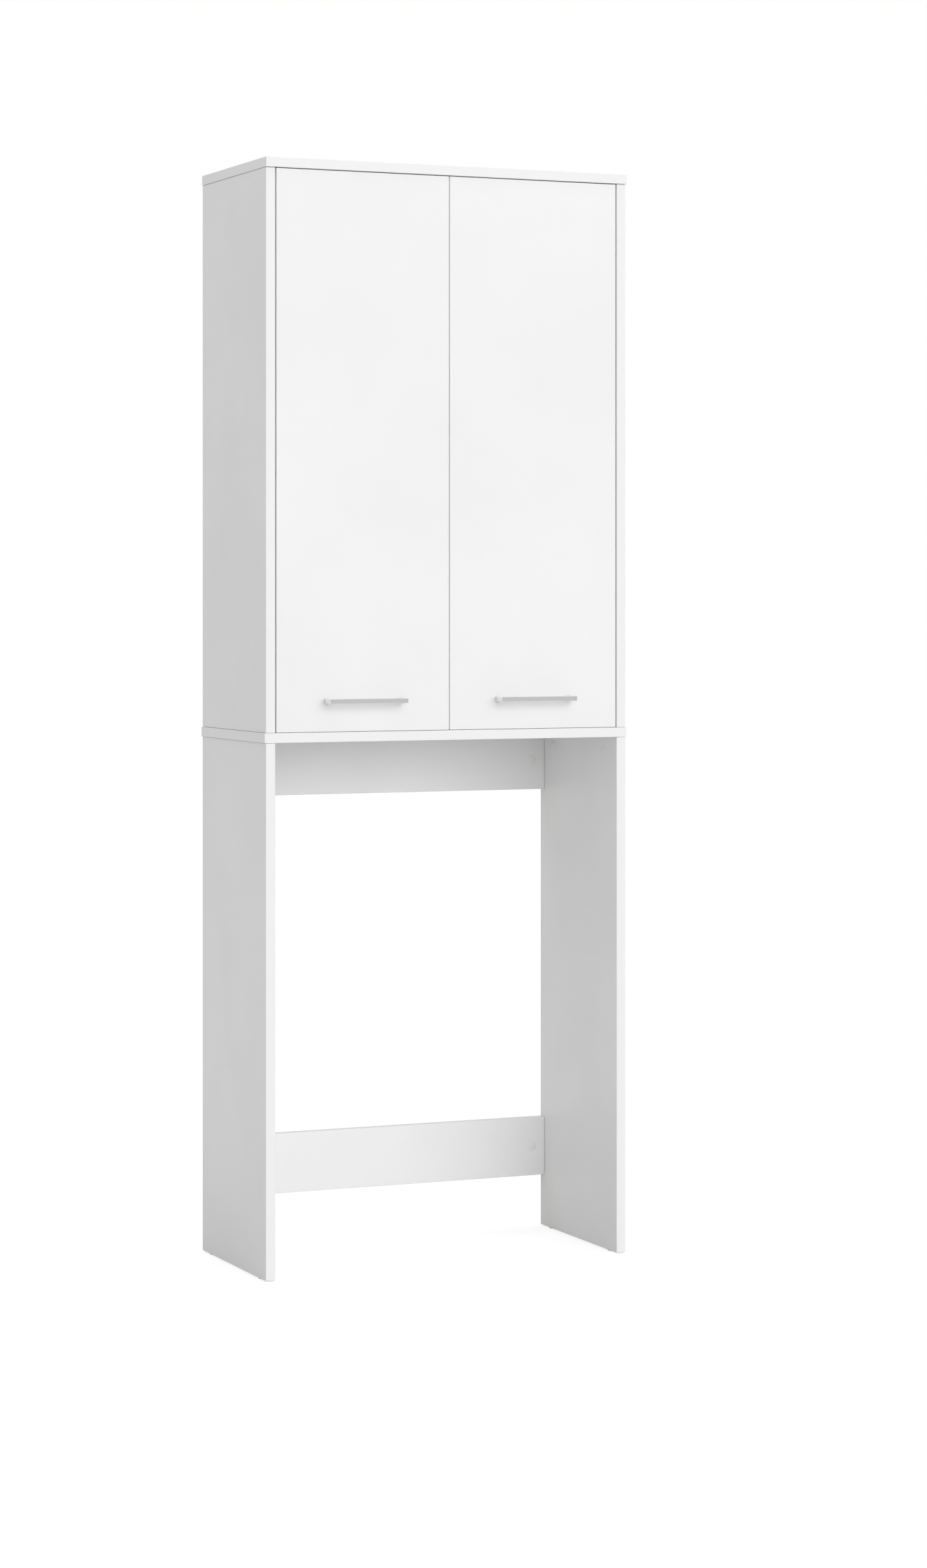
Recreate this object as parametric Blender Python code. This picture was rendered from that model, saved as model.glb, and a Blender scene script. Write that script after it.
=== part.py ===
"""A tall cabinet that stands over a household appliance, modelled piece by piece.

Two side panels and a deck make an open bay at floor height. The cupboard on the deck has two inset doors, each
carried by two concealed cup hinges. Metres, +Z up. The front faces -Y, and the origin is on the floor, under the
middle of the whole cabinet, handles included.
"""

import math

import bmesh
import bpy
from mathutils import Matrix, Vector

# Carcass boards
BOARD = 0.016
BODY_WIDTH = 0.636
BODY_DEPTH = 0.300
TOTAL_HEIGHT = 1.790
BAY_HEIGHT = 0.857
DECK_OVERHANG = 0.002
TOP_OVERHANG = 0.001
TOP_NOSE = 0.004
EDGE_ROUND = 0.0006

# Clearances shared by all pieces
SEAT_GAP = 0.0003
CUT_OVERRUN = 0.002

# Back panel, rear rails and shelves
BACK_THICKNESS = 0.003
GROOVE_DEPTH = 0.006
GROOVE_INSET = 0.010
RAIL_HEIGHT = 0.100
LOWER_RAIL_FLOOR_SPACE = 0.090
SHELF_COUNT = 2
SHELF_SETBACK = 0.019
SHELF_COLLAR_PLAY = 0.0006
SHELF_BACK_PLAY = 0.002

# Doors
DOOR_BOARD = 0.016
DOOR_SIDE_GAP = 0.002
DOOR_SPLIT_GAP = 0.0012
DOOR_HEAD_GAP = 0.001
DOOR_FOOT_GAP = 0.0006

# Handles: a flat bow on two legs
HANDLE_HOLE_SPACING = 0.128
HANDLE_ABOVE_DOOR_FOOT = 0.0489
HANDLE_REACH = 0.026
HANDLE_BAR_HEIGHT = 0.008
HANDLE_BAR_THICKNESS = 0.006
HANDLE_LEG_WIDTH = 0.008
HANDLE_FOOT_HEIGHT = 0.011
HANDLE_FOOT_FLARE = 0.007
HANDLE_CORNER_RADIUS = 0.002
HANDLE_INNER_RADIUS = 0.0015
HANDLE_CORNER_STEPS = 4
HANDLE_FLARE_SHARES = (0, 0.35, 0.7, 1)
HANDLE_EDGE_ROUND = 0.0012

# Handle screws
SCREW_RADIUS = 0.002
SCREW_HEAD_RADIUS = 0.0042
SCREW_HEAD_HEIGHT = 0.0024
SCREW_HEAD_DOME = 0.0011
SCREW_HOLE_PLAY = 0.0005
SCREW_GRIP = 0.010

# Cup hinges. ACROSS is measured from the closed door's outer edge inwards, BACK from its front face backwards
HINGE_INSET = 0.100
CUP_BORE_RADIUS = 0.0175
CUP_BORE_DEPTH = 0.012
CUP_EDGE_DISTANCE = 0.005
CUP_FLOOR = 0.001
CUP_FLANGE_RADIUS = 0.019
CUP_FLANGE_THICKNESS = 0.0012
CUP_WING_NEAR = 0.003
CUP_WING_FAR = 0.0155
CUP_WING_HALF = 0.027
CUP_WING_CHAMFER = 0.003
CUP_SCREW_ACROSS = 0.0095
CUP_SCREW_SPREAD = 0.0225
CUP_SCREW_HOLE_RADIUS = 0.0018
CUP_MOUTH_RADIUS = 0.0160
CUP_MOUTH_DEPTH = 0.0015
CUP_LINK_POCKET_START = 0.0065
CUP_LINK_POCKET_HALF = 0.0049
CUP_NOTCH_START = 0.002
CUP_NOTCH_SINK = 0.0002
CUP_ARM_POCKET_START = 0.0200
CUP_ARM_POCKET_END = 0.0373
CUP_ARM_POCKET_HALF = 0.0074

# Pivots of the links, in plan
OUTER_CUP_PIVOT_ACROSS = 0.00917
OUTER_CUP_PIVOT_BACK = 0.01226
OUTER_ARM_PIVOT_ACROSS = 0.03555
OUTER_ARM_PIVOT_BACK = 0.02617
OUTER_BEND_ACROSS = 0.01463
OUTER_BEND_BACK = 0.01118
INNER_CUP_PIVOT_ACROSS = 0.01315
INNER_CUP_PIVOT_BACK = 0.00863
INNER_ARM_PIVOT_ACROSS = 0.03534
INNER_ARM_PIVOT_BACK = 0.00865
INNER_BEND_ACROSS = 0.01797
INNER_BEND_BACK = 0.00700
LINK_STEEL = 0.0011
LINK_EYE_RADIUS = 0.0018
LINK_HALF_WIDTH = 0.0045
LINK_PIN_RADIUS = 0.001
LINK_PIN_IN_CUP = 0.0026

# Hinge arm: a channel of bent steel
ARM_STEEL = 0.0012
ARM_HALF_WIDTH = 0.0062
ARM_TAIL_BACK = 0.086
ARM_RISE = 0.0105
ARM_CHEEK_CLEARANCE = 0.0027
ARM_CRANK_BACK = 0.047
ARM_CRANK_FRONT = 0.029
ARM_WEB_ACROSS = 0.0390
ARM_WEB_FRONT = 0.0187
ARM_NOSE_ACROSS = 0.0369
ARM_NOSE_FRONT = 0.0066
ARM_NOSE_ROUND = 0.0014
ARM_NOSE_TIP_ACROSS = 0.0330
ARM_THROAT_ACROSS = 0.0280
ARM_THROAT_FRONT = 0.0120
ARM_THROAT_BACK = 0.0185
ARM_CHEEK_CRANK_BACK = 0.038
ARM_CRANK_SHARES = ((0, 0), (0.12, 0.03), (0.3, 0.2), (0.7, 0.8), (0.88, 0.97), (1, 1))
ARM_RIVET_RADIUS = 0.0013
ARM_RIVET_HEIGHT = 0.0005

# Mounting plate on the side panel
PLATE_STEEL = 0.002
PLATE_SCREW_BACK = 0.053
PLATE_SCREW_SPREAD = 0.016
PLATE_SCREW_HOLE_RADIUS = 0.0027
PLATE_WING_LENGTH = 0.013
PLATE_WING_HALF = 0.023
PLATE_BLOCK_FRONT = 0.043
PLATE_BLOCK_BACK = 0.083

# Shelf pins
PIN_RADIUS = 0.0025
PIN_STEM_LENGTH = 0.009
PIN_COLLAR_RADIUS = 0.004
PIN_COLLAR_THICKNESS = 0.0014
PIN_NOSE_RADIUS = 0.003
PIN_NOSE_LENGTH = 0.008
PIN_INSET = 0.062
PIN_HOLE_PITCH = 0.032
PIN_SPARE_HOLES = 1

# Dowels
DOWEL_RADIUS = 0.004
DOWEL_IN_TOP = 0.010
DOWEL_IN_SIDE = 0.020
DOWEL_CHAMFER = 0.001
DOWEL_INSET = 0.050

# Floor glides
GLIDE_RADIUS = 0.007
GLIDE_THICKNESS = 0.0015
GLIDE_NAIL_RADIUS = 0.0012
GLIDE_NAIL_LENGTH = 0.012
GLIDE_INSET = 0.035

# Wall bracket
BRACKET_WIDTH = 0.040
BRACKET_LEG = 0.025
BRACKET_STEEL = 0.002
BRACKET_HOLE_RADIUS = 0.0025

# Roundness of turned pieces
FINE_SIDES = 32
SMALL_SIDES = 12
SMOOTH_ANGLE = math.radians(30)

# Places worked out from the sizes above
DEPTH_OVERALL = BODY_DEPTH + HANDLE_REACH
BACK_Y = DEPTH_OVERALL / 2
FRONT_Y = BACK_Y - BODY_DEPTH
HALF_WIDTH = BODY_WIDTH / 2
INNER_HALF = HALF_WIDTH - BOARD
DECK_TOP = BAY_HEIGHT + BOARD
TOP_UNDERSIDE = TOTAL_HEIGHT - BOARD
DOOR_FOOT = DECK_TOP + DOOR_FOOT_GAP
DOOR_HEIGHT = TOP_UNDERSIDE - DOOR_HEAD_GAP - DOOR_FOOT
DOOR_EDGE = INNER_HALF - DOOR_SIDE_GAP
DOOR_WIDTH = DOOR_EDGE - DOOR_SPLIT_GAP / 2
BACK_PANEL_Y = BACK_Y - GROOVE_INSET - BACK_THICKNESS / 2
SHELF_BACK_Y = BACK_PANEL_Y - BACK_THICKNESS / 2 - SHELF_BACK_PLAY
FRONT_AND_BACK_DOWEL_Y = (FRONT_Y + DOWEL_INSET, BACK_Y - DOWEL_INSET)
HANDLE_LENGTH = HANDLE_HOLE_SPACING + HANDLE_LEG_WIDTH
SIDES = (("left", -1), ("right", 1))
ENDS = (("front", 1), ("back", -1))


def clear_scene():
    """Removes every object, so that a second run starts clean."""
    for obj in list(bpy.data.objects):
        bpy.data.objects.remove(obj, do_unlink=True)


def make_material(name, colour, roughness, metallic=0.0):
    """One Principled material; colour is linear red, green and blue."""
    material = bpy.data.materials.new(name)
    material.use_nodes = True
    shader = material.node_tree.nodes["Principled BSDF"]
    shader.inputs["Base Color"].default_value = (*colour, 1.0)
    shader.inputs["Roughness"].default_value = roughness
    shader.inputs["Metallic"].default_value = metallic
    return material


def add_object(name, bm, material, location=(0, 0, 0), parent=None, smooth=False):
    """Turns a bmesh into a named object; the place under a parent is still given in world space."""
    mesh = bpy.data.meshes.new(name)
    bmesh.ops.recalc_face_normals(bm, faces=bm.faces)
    bm.to_mesh(mesh)
    bm.free()
    if smooth:
        mesh.shade_smooth()
        mesh.set_sharp_from_angle(angle=SMOOTH_ANGLE)
    obj = bpy.data.objects.new(name, mesh)
    if material:
        mesh.materials.append(material)
    obj.location = Vector(location)
    if parent:
        obj.parent = parent
        obj.location = Vector(location) - parent.location
    bpy.context.collection.objects.link(obj)
    return obj


def add_axis(name, location):
    """An empty on a joint's axis."""
    empty = bpy.data.objects.new(name, None)
    empty.location = Vector(location)
    bpy.context.collection.objects.link(empty)
    return empty


def cuboid(low, high):
    """A box between two corners."""
    bm = bmesh.new()
    bmesh.ops.create_cube(bm, size=1)
    low, high = Vector(low), Vector(high)
    scale = Matrix.Diagonal((*(high - low), 1))
    bmesh.ops.transform(bm, matrix=Matrix.Translation((low + high) / 2) @ scale, verts=bm.verts)
    return bm


def turned(profile, axis, centre, sides):
    """A solid of revolution. The profile lists (distance along the axis, radius) from one end to the other."""
    bm = bmesh.new()
    turn = Vector((0, 0, 1)).rotation_difference(Vector(axis)).to_matrix().to_4x4()
    place = Matrix.Translation(centre) @ turn
    rings = []
    for along, radius in profile:
        ring = []
        for k in range(sides):
            angle = 2 * math.pi * k / sides
            point = Vector((radius * math.cos(angle), radius * math.sin(angle), along))
            ring.append(bm.verts.new(place @ point))
        rings.append(ring)
    for ring, following in zip(rings, rings[1:]):
        for k in range(sides):
            near = (k + 1) % sides
            bm.faces.new((ring[k], ring[near], following[near], following[k]))
    bm.faces.new(rings[0])
    bm.faces.new(rings[-1])
    return bm


def cylinder(start, end, radius, sides):
    """A plain cylinder between two points."""
    start, end = Vector(start), Vector(end)
    return turned([(0, radius), ((end - start).length, radius)], end - start, start, sides)


def merged(parts):
    """Several bmeshes in one, kept as separate closed bodies; for cutters."""
    bm = bmesh.new()
    for part in parts:
        mesh = bpy.data.meshes.new("part")
        bmesh.ops.recalc_face_normals(part, faces=part.faces)
        part.to_mesh(mesh)
        part.free()
        bm.from_mesh(mesh)
        bpy.data.meshes.remove(mesh)
    return bm


def tool(name, bm):
    """A hidden body for a Boolean."""
    obj = add_object(name, bm, None)
    obj.hide_render = True
    obj.display_type = "WIRE"
    return obj


def combine(obj, bm, operation, label):
    """Adds a Boolean of the given kind to an object, with its own hidden body in world space."""
    body = tool(f"{obj.name}_{label}", bm)
    modifier = obj.modifiers.new(label, "BOOLEAN")
    modifier.operation = operation
    modifier.solver = "EXACT"
    modifier.object = body


def cut(obj, parts, label="cut"):
    """Cuts bodies out of an object."""
    combine(obj, merged(parts), "DIFFERENCE", label)


def round_edges(obj, width, segments=1):
    """Bevels every sharp edge."""
    bevel = obj.modifiers.new("edge_round", "BEVEL")
    bevel.width = width
    bevel.segments = segments
    bevel.limit_method = "ANGLE"
    bevel.harden_normals = False


def board(name, low, high, material, parent=None, width=EDGE_ROUND):
    """A flat board between two corners, with its origin in its middle."""
    low, high = Vector(low), Vector(high)
    middle = (low + high) / 2
    obj = add_object(name, cuboid(low - middle, high - middle), material, middle, parent)
    round_edges(obj, width)
    return obj


def dowel_hole(x, y, low, high):
    """A drilled hole for a dowel, along Z."""
    return cylinder((x, y, low), (x, y, high), DOWEL_RADIUS + SEAT_GAP, SMALL_SIDES)


def back_groove(low, high):
    """The slot that the back panel stands in, between two corners of the panel's own outline."""
    y_low = BACK_PANEL_Y - BACK_THICKNESS / 2 - SEAT_GAP
    y_high = BACK_PANEL_Y + BACK_THICKNESS / 2 + SEAT_GAP
    return cuboid((low[0], y_low, low[1]), (high[0], y_high, high[1]))


def side_x(sign):
    """The middle of a side panel's thickness."""
    return sign * (HALF_WIDTH - BOARD / 2)


def shelf_levels():
    """The underside of each shelf, with equal compartments between them."""
    room = TOP_UNDERSIDE - DECK_TOP - SHELF_COUNT * BOARD
    pitch = room / (SHELF_COUNT + 1)
    return [DECK_TOP + pitch * (k + 1) + BOARD * k for k in range(SHELF_COUNT)]


def pin_rows():
    """The two places along Y where a shelf pin stands."""
    return (("front", FRONT_Y + PIN_INSET), ("back", BACK_Y - PIN_INSET))


def top_panel(material):
    """The lid, standing proud at the front and the sides, grooved for the back panel."""
    reach = HALF_WIDTH + TOP_OVERHANG
    obj = board("top_panel", (-reach, FRONT_Y - TOP_NOSE, TOP_UNDERSIDE), (reach, BACK_Y, TOTAL_HEIGHT), material)
    groove_reach = INNER_HALF + GROOVE_DEPTH
    holes = [
        dowel_hole(side_x(sign), y, TOP_UNDERSIDE - CUT_OVERRUN, TOP_UNDERSIDE + DOWEL_IN_TOP + SEAT_GAP)
        for _, sign in SIDES
        for y in FRONT_AND_BACK_DOWEL_Y
    ]
    slot = back_groove(
        (-groove_reach, TOP_UNDERSIDE - CUT_OVERRUN), (groove_reach, TOP_UNDERSIDE + GROOVE_DEPTH)
    )
    cut(obj, [*holes, slot])


def deck_panel(material):
    """The board between bay and cupboard, drilled right through for the long dowels."""
    reach = HALF_WIDTH + DECK_OVERHANG
    obj = board("deck_panel", (-reach, FRONT_Y, BAY_HEIGHT), (reach, BACK_Y, DECK_TOP), material)
    groove_reach = INNER_HALF + GROOVE_DEPTH
    holes = [
        dowel_hole(side_x(sign), y, BAY_HEIGHT - CUT_OVERRUN, DECK_TOP + CUT_OVERRUN)
        for _, sign in SIDES
        for y in FRONT_AND_BACK_DOWEL_Y
    ]
    slot = back_groove((-groove_reach, DECK_TOP - GROOVE_DEPTH), (groove_reach, DECK_TOP + CUT_OVERRUN))
    cut(obj, [*holes, slot])


def upper_side(side, sign, material):
    """A side of the cupboard: dowelled at both ends, grooved at the back and drilled for the shelf pins.

    Each pin has spare holes over and under it, so that its shelf can be moved.
    """
    foot = DECK_TOP + SEAT_GAP
    head = TOP_UNDERSIDE - SEAT_GAP
    across = sorted((sign * INNER_HALF, sign * HALF_WIDTH))
    obj = board(f"upper_side_{side}", (across[0], FRONT_Y, foot), (across[1], BACK_Y, head), material)
    x = side_x(sign)
    holes = []
    for y in FRONT_AND_BACK_DOWEL_Y:
        holes.append(dowel_hole(x, y, foot - CUT_OVERRUN, DECK_TOP + DOWEL_IN_SIDE + SEAT_GAP))
        holes.append(dowel_hole(x, y, TOP_UNDERSIDE - DOWEL_IN_SIDE - SEAT_GAP, head + CUT_OVERRUN))
    face = sign * INNER_HALF
    for underside in shelf_levels():
        for _, y in pin_rows():
            for step in range(-PIN_SPARE_HOLES, PIN_SPARE_HOLES + 1):
                z = underside - SEAT_GAP - PIN_NOSE_RADIUS + step * PIN_HOLE_PITCH
                start = (face - sign * CUT_OVERRUN, y, z)
                end = (face + sign * (PIN_STEM_LENGTH + SEAT_GAP), y, z)
                holes.append(cylinder(start, end, PIN_RADIUS + SEAT_GAP, SMALL_SIDES))
    slot_x = sorted((face - sign * CUT_OVERRUN, face + sign * GROOVE_DEPTH))
    slot = back_groove((slot_x[0], foot - CUT_OVERRUN), (slot_x[1], head + CUT_OVERRUN))
    cut(obj, [*holes, slot])
    return obj


def lower_side(side, sign, material):
    """A side of the open bay, dowelled to the deck and drilled for the nails of its two glides."""
    foot = GLIDE_THICKNESS + SEAT_GAP
    head = BAY_HEIGHT - SEAT_GAP
    across = sorted((sign * INNER_HALF, sign * HALF_WIDTH))
    obj = board(f"lower_side_{side}", (across[0], FRONT_Y, foot), (across[1], BACK_Y, head), material)
    x = side_x(sign)
    holes = [
        dowel_hole(x, y, BAY_HEIGHT - DOWEL_IN_SIDE - SEAT_GAP, head + CUT_OVERRUN) for y in FRONT_AND_BACK_DOWEL_Y
    ]
    for _, y in glide_rows():
        low = (x, y, foot - CUT_OVERRUN)
        high = (x, y, GLIDE_THICKNESS + GLIDE_NAIL_LENGTH + SEAT_GAP)
        holes.append(cylinder(low, high, GLIDE_NAIL_RADIUS + SEAT_GAP, SMALL_SIDES))
    cut(obj, holes)


def back_panel(material):
    """Thin hardboard, standing in the grooves of the two sides, the top and the deck."""
    reach = INNER_HALF + GROOVE_DEPTH - SEAT_GAP
    low = (-reach, BACK_PANEL_Y - BACK_THICKNESS / 2, DECK_TOP - GROOVE_DEPTH + SEAT_GAP)
    high = (reach, BACK_PANEL_Y + BACK_THICKNESS / 2, TOP_UNDERSIDE + GROOVE_DEPTH - SEAT_GAP)
    board("back_panel", low, high, material)


def rear_rails(material):
    """Two rails that keep the bay square at the back."""
    reach = INNER_HALF - SEAT_GAP
    feet = {"lower": LOWER_RAIL_FLOOR_SPACE, "upper": BAY_HEIGHT - SEAT_GAP - RAIL_HEIGHT}
    for place, foot in feet.items():
        low = (-reach, BACK_Y - BOARD, foot)
        high = (reach, BACK_Y, foot + RAIL_HEIGHT)
        board(f"rear_rail_{place}", low, high, material)


def shelves(material):
    """Loose shelves on pins, set back behind the doors."""
    reach = INNER_HALF - PIN_COLLAR_THICKNESS - SHELF_COLLAR_PLAY
    for place, underside in zip(("lower", "upper"), shelf_levels()):
        low = (-reach, FRONT_Y + DOOR_BOARD + SHELF_SETBACK, underside)
        high = (reach, SHELF_BACK_Y, underside + BOARD)
        board(f"shelf_{place}", low, high, material)


def shelf_pins(material):
    """Turned pins with a collar against the side panel; four of them carry a shelf."""
    collar_start = SEAT_GAP
    collar_end = collar_start + PIN_COLLAR_THICKNESS
    profile = [
        (-PIN_STEM_LENGTH, PIN_RADIUS),
        (collar_start, PIN_RADIUS),
        (collar_start, PIN_COLLAR_RADIUS),
        (collar_end, PIN_COLLAR_RADIUS),
        (collar_end, PIN_NOSE_RADIUS),
        (collar_end + PIN_NOSE_LENGTH, PIN_NOSE_RADIUS),
    ]
    for place, underside in zip(("lower", "upper"), shelf_levels()):
        z = underside - SEAT_GAP - PIN_NOSE_RADIUS
        for side, sign in SIDES:
            for row, y in pin_rows():
                bm = turned(profile, (-sign, 0, 0), (0, 0, 0), SMALL_SIDES)
                name = f"shelf_pin_{place}_{side}_{row}"
                add_object(name, bm, material, (sign * INNER_HALF, y, z), smooth=True)


def dowels(material):
    """Fluted wood dowels, drawn plain: short ones under the top, long ones through the deck."""
    spans = {
        "top": (TOP_UNDERSIDE - DOWEL_IN_SIDE, TOP_UNDERSIDE + DOWEL_IN_TOP),
        "deck": (BAY_HEIGHT - DOWEL_IN_SIDE, DECK_TOP + DOWEL_IN_SIDE),
    }
    for place, (low, high) in spans.items():
        length = high - low
        tip = DOWEL_RADIUS - DOWEL_CHAMFER
        profile = [(0, tip), (DOWEL_CHAMFER, DOWEL_RADIUS), (length - DOWEL_CHAMFER, DOWEL_RADIUS), (length, tip)]
        for side, sign in SIDES:
            for (row, _), y in zip(ENDS, FRONT_AND_BACK_DOWEL_Y):
                bm = turned(profile, (0, 0, 1), (0, 0, 0), SMALL_SIDES)
                add_object(f"dowel_{place}_{side}_{row}", bm, material, (side_x(sign), y, low), smooth=True)


def glide_rows():
    """The two places along Y where a glide is nailed under a side."""
    return (("front", FRONT_Y + GLIDE_INSET), ("back", BACK_Y - GLIDE_INSET))


def floor_glides(material):
    """Flat plastic discs on nails, which the whole cabinet stands on."""
    profile = [
        (0, GLIDE_RADIUS),
        (GLIDE_THICKNESS, GLIDE_RADIUS),
        (GLIDE_THICKNESS, GLIDE_NAIL_RADIUS),
        (GLIDE_THICKNESS + GLIDE_NAIL_LENGTH, GLIDE_NAIL_RADIUS),
    ]
    for side, sign in SIDES:
        for row, y in glide_rows():
            bm = turned(profile, (0, 0, 1), (0, 0, 0), SMALL_SIDES)
            add_object(f"floor_glide_{side}_{row}", bm, material, (side_x(sign), y, 0), smooth=True)


def wall_bracket(material):
    """A steel angle under the top, screwed through the back panel to the wall behind."""
    back = BACK_PANEL_Y - BACK_THICKNESS / 2 - SEAT_GAP
    head = TOP_UNDERSIDE - SEAT_GAP
    half = BRACKET_WIDTH / 2
    outline = [
        (back, head),
        (back - BRACKET_LEG, head),
        (back - BRACKET_LEG, head - BRACKET_STEEL),
        (back - BRACKET_STEEL, head - BRACKET_STEEL),
        (back - BRACKET_STEEL, head - BRACKET_LEG),
        (back, head - BRACKET_LEG),
    ]
    bm = bmesh.new()
    face = bm.faces.new([bm.verts.new((-half, y, z)) for y, z in outline])
    grown = bmesh.ops.extrude_face_region(bm, geom=[face])
    moved = [item for item in grown["geom"] if isinstance(item, bmesh.types.BMVert)]
    bmesh.ops.translate(bm, verts=moved, vec=(BRACKET_WIDTH, 0, 0))
    obj = add_object("wall_bracket", bm, material)
    middle = (BRACKET_LEG + BRACKET_STEEL) / 2
    over = BRACKET_STEEL + CUT_OVERRUN
    upright = cylinder(
        (0, back - middle, head - over), (0, back - middle, head + CUT_OVERRUN), BRACKET_HOLE_RADIUS, SMALL_SIDES
    )
    level = cylinder(
        (0, back - over, head - middle), (0, back + CUT_OVERRUN, head - middle), BRACKET_HOLE_RADIUS, SMALL_SIDES
    )
    cut(obj, [upright, level])


def handle_middle(sign):
    """Where a handle's middle lies on its door: across and up."""
    return sign * (DOOR_EDGE - DOOR_WIDTH / 2), DOOR_FOOT + HANDLE_ABOVE_DOOR_FOOT


def handle_screw_places(sign):
    """Across and up of each screw of a handle."""
    x, z = handle_middle(sign)
    half = HANDLE_HOLE_SPACING / 2
    return (("outer", x + sign * half, z), ("inner", x - sign * half, z))


def door(side, sign, axis, material):
    """An inset door, bored for its two cups and drilled for its handle."""
    across = sorted((sign * DOOR_EDGE, sign * DOOR_SPLIT_GAP / 2))
    back = FRONT_Y + DOOR_BOARD
    low = (across[0], FRONT_Y, DOOR_FOOT)
    high = (across[1], back, DOOR_FOOT + DOOR_HEIGHT)
    obj = board(f"door_{side}", low, high, material, axis)
    x = sign * (DOOR_EDGE - CUP_EDGE_DISTANCE - CUP_BORE_RADIUS)
    holes = [
        cylinder((x, back - CUP_BORE_DEPTH, z), (x, back + CUT_OVERRUN, z), CUP_BORE_RADIUS, FINE_SIDES)
        for _, z in hinge_levels()
    ]
    radius = SCREW_RADIUS + SCREW_HOLE_PLAY
    for _, x, z in handle_screw_places(sign):
        start = (x, FRONT_Y - CUT_OVERRUN, z)
        holes.append(cylinder(start, (x, back + CUT_OVERRUN, z), radius, SMALL_SIDES))
    cut(obj, holes)


def arc(centre, radius, start, end, steps):
    """Points along an arc, ends included."""
    points = []
    for k in range(steps + 1):
        angle = start + (end - start) * k / steps
        points.append(Vector(centre) + radius * Vector((math.cos(angle), math.sin(angle))))
    return points


def bow_sections():
    """The handle's half, from the foot of one leg to the middle of the bar.

    Each section is an outer and an inner point in plan, and half the height there. x is 0 in the bar's middle, and
    y is 0 at the door's face.
    """
    outer_x = HANDLE_LENGTH / 2
    inner_x = outer_x - HANDLE_LEG_WIDTH
    front = -HANDLE_REACH
    inner_y = front + HANDLE_BAR_THICKNESS
    small = HANDLE_INNER_RADIUS
    full, foot = HANDLE_BAR_HEIGHT / 2, HANDLE_FOOT_HEIGHT / 2
    sections = []
    for share in HANDLE_FLARE_SHARES:
        y = -SEAT_GAP - share * (HANDLE_FOOT_FLARE - SEAT_GAP)
        half = full + (foot - full) * (1 - share) ** 2
        sections.append((Vector((outer_x, y)), Vector((inner_x, y)), half))
    centre = (outer_x - HANDLE_CORNER_RADIUS, front + HANDLE_CORNER_RADIUS)
    inner_centre = (inner_x - small, inner_y + small)
    turn = (0, -math.pi / 2)
    outside = arc(centre, HANDLE_CORNER_RADIUS, *turn, HANDLE_CORNER_STEPS)
    inside = arc(inner_centre, small, *turn, HANDLE_CORNER_STEPS)
    sections += [(a, b, full) for a, b in zip(outside, inside)]
    return sections


def handle(side, sign, axis, material):
    """A flat bow in one piece: a bar on two legs whose feet flare towards the door, drilled for its screws."""
    half = bow_sections()
    mirrored = [(Vector((-a.x, a.y)), Vector((-b.x, b.y)), h) for a, b, h in reversed(half)]
    bm = bmesh.new()
    loops = []
    for outer, inner, height in half + mirrored:
        corners = ((outer, -height), (outer, height), (inner, height), (inner, -height))
        loops.append([bm.verts.new((p.x, p.y, z)) for p, z in corners])
    for loop, following in zip(loops, loops[1:]):
        for k in range(len(loop)):
            near = (k + 1) % len(loop)
            bm.faces.new((loop[k], loop[near], following[near], following[k]))
    bm.faces.new(loops[0])
    bm.faces.new(loops[-1])
    x, z = handle_middle(sign)
    obj = add_object(f"handle_{side}", bm, material, (x, FRONT_Y, z), axis, smooth=True)
    round_edges(obj, HANDLE_EDGE_ROUND, 2)
    radius = SCREW_RADIUS + SEAT_GAP
    tips = []
    for _, screw_x, screw_z in handle_screw_places(sign):
        start = (screw_x, FRONT_Y + CUT_OVERRUN, screw_z)
        end = (screw_x, FRONT_Y - SCREW_GRIP - SEAT_GAP, screw_z)
        tips.append(cylinder(start, end, radius, SMALL_SIDES))
    cut(obj, tips)


def handle_screws(side, sign, axis, material):
    """Pan-head screws from inside the door into the handle's legs."""
    shank_end = SCREW_HEAD_HEIGHT + SEAT_GAP + DOOR_BOARD + SCREW_GRIP
    profile = [
        (0, SCREW_HEAD_RADIUS - SCREW_HEAD_DOME),
        (SCREW_HEAD_DOME, SCREW_HEAD_RADIUS),
        (SCREW_HEAD_HEIGHT, SCREW_HEAD_RADIUS),
        (SCREW_HEAD_HEIGHT, SCREW_RADIUS),
        (shank_end, SCREW_RADIUS),
    ]
    y = FRONT_Y + DOOR_BOARD + SEAT_GAP + SCREW_HEAD_HEIGHT
    for place, x, z in handle_screw_places(sign):
        bm = turned(profile, (0, -1, 0), (0, 0, 0), SMALL_SIDES)
        add_object(f"handle_screw_{side}_{place}", bm, material, (x, y, z), axis, smooth=True)


def hinge_levels():
    """The height of each hinge's middle."""
    return (("lower", DOOR_FOOT + HINGE_INSET), ("upper", DOOR_FOOT + DOOR_HEIGHT - HINGE_INSET))


def hinge_point(sign, across, back, level=0):
    """A place on a hinge in world space."""
    return Vector((sign * (DOOR_EDGE - across), FRONT_Y + back, level))


def prism(outline, low, high):
    """A plan outline, extruded along Z."""
    bm = bmesh.new()
    face = bm.faces.new([bm.verts.new((point.x, point.y, low)) for point in outline])
    grown = bmesh.ops.extrude_face_region(bm, geom=[face])
    moved = [item for item in grown["geom"] if isinstance(item, bmesh.types.BMVert)]
    bmesh.ops.translate(bm, verts=moved, vec=(0, 0, high - low))
    return bm


def shifted(bm, origin):
    """Moves a body modelled in world space, so that the origin lies at zero."""
    bmesh.ops.translate(bm, verts=bm.verts, vec=-Vector(origin))
    return bm


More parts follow.
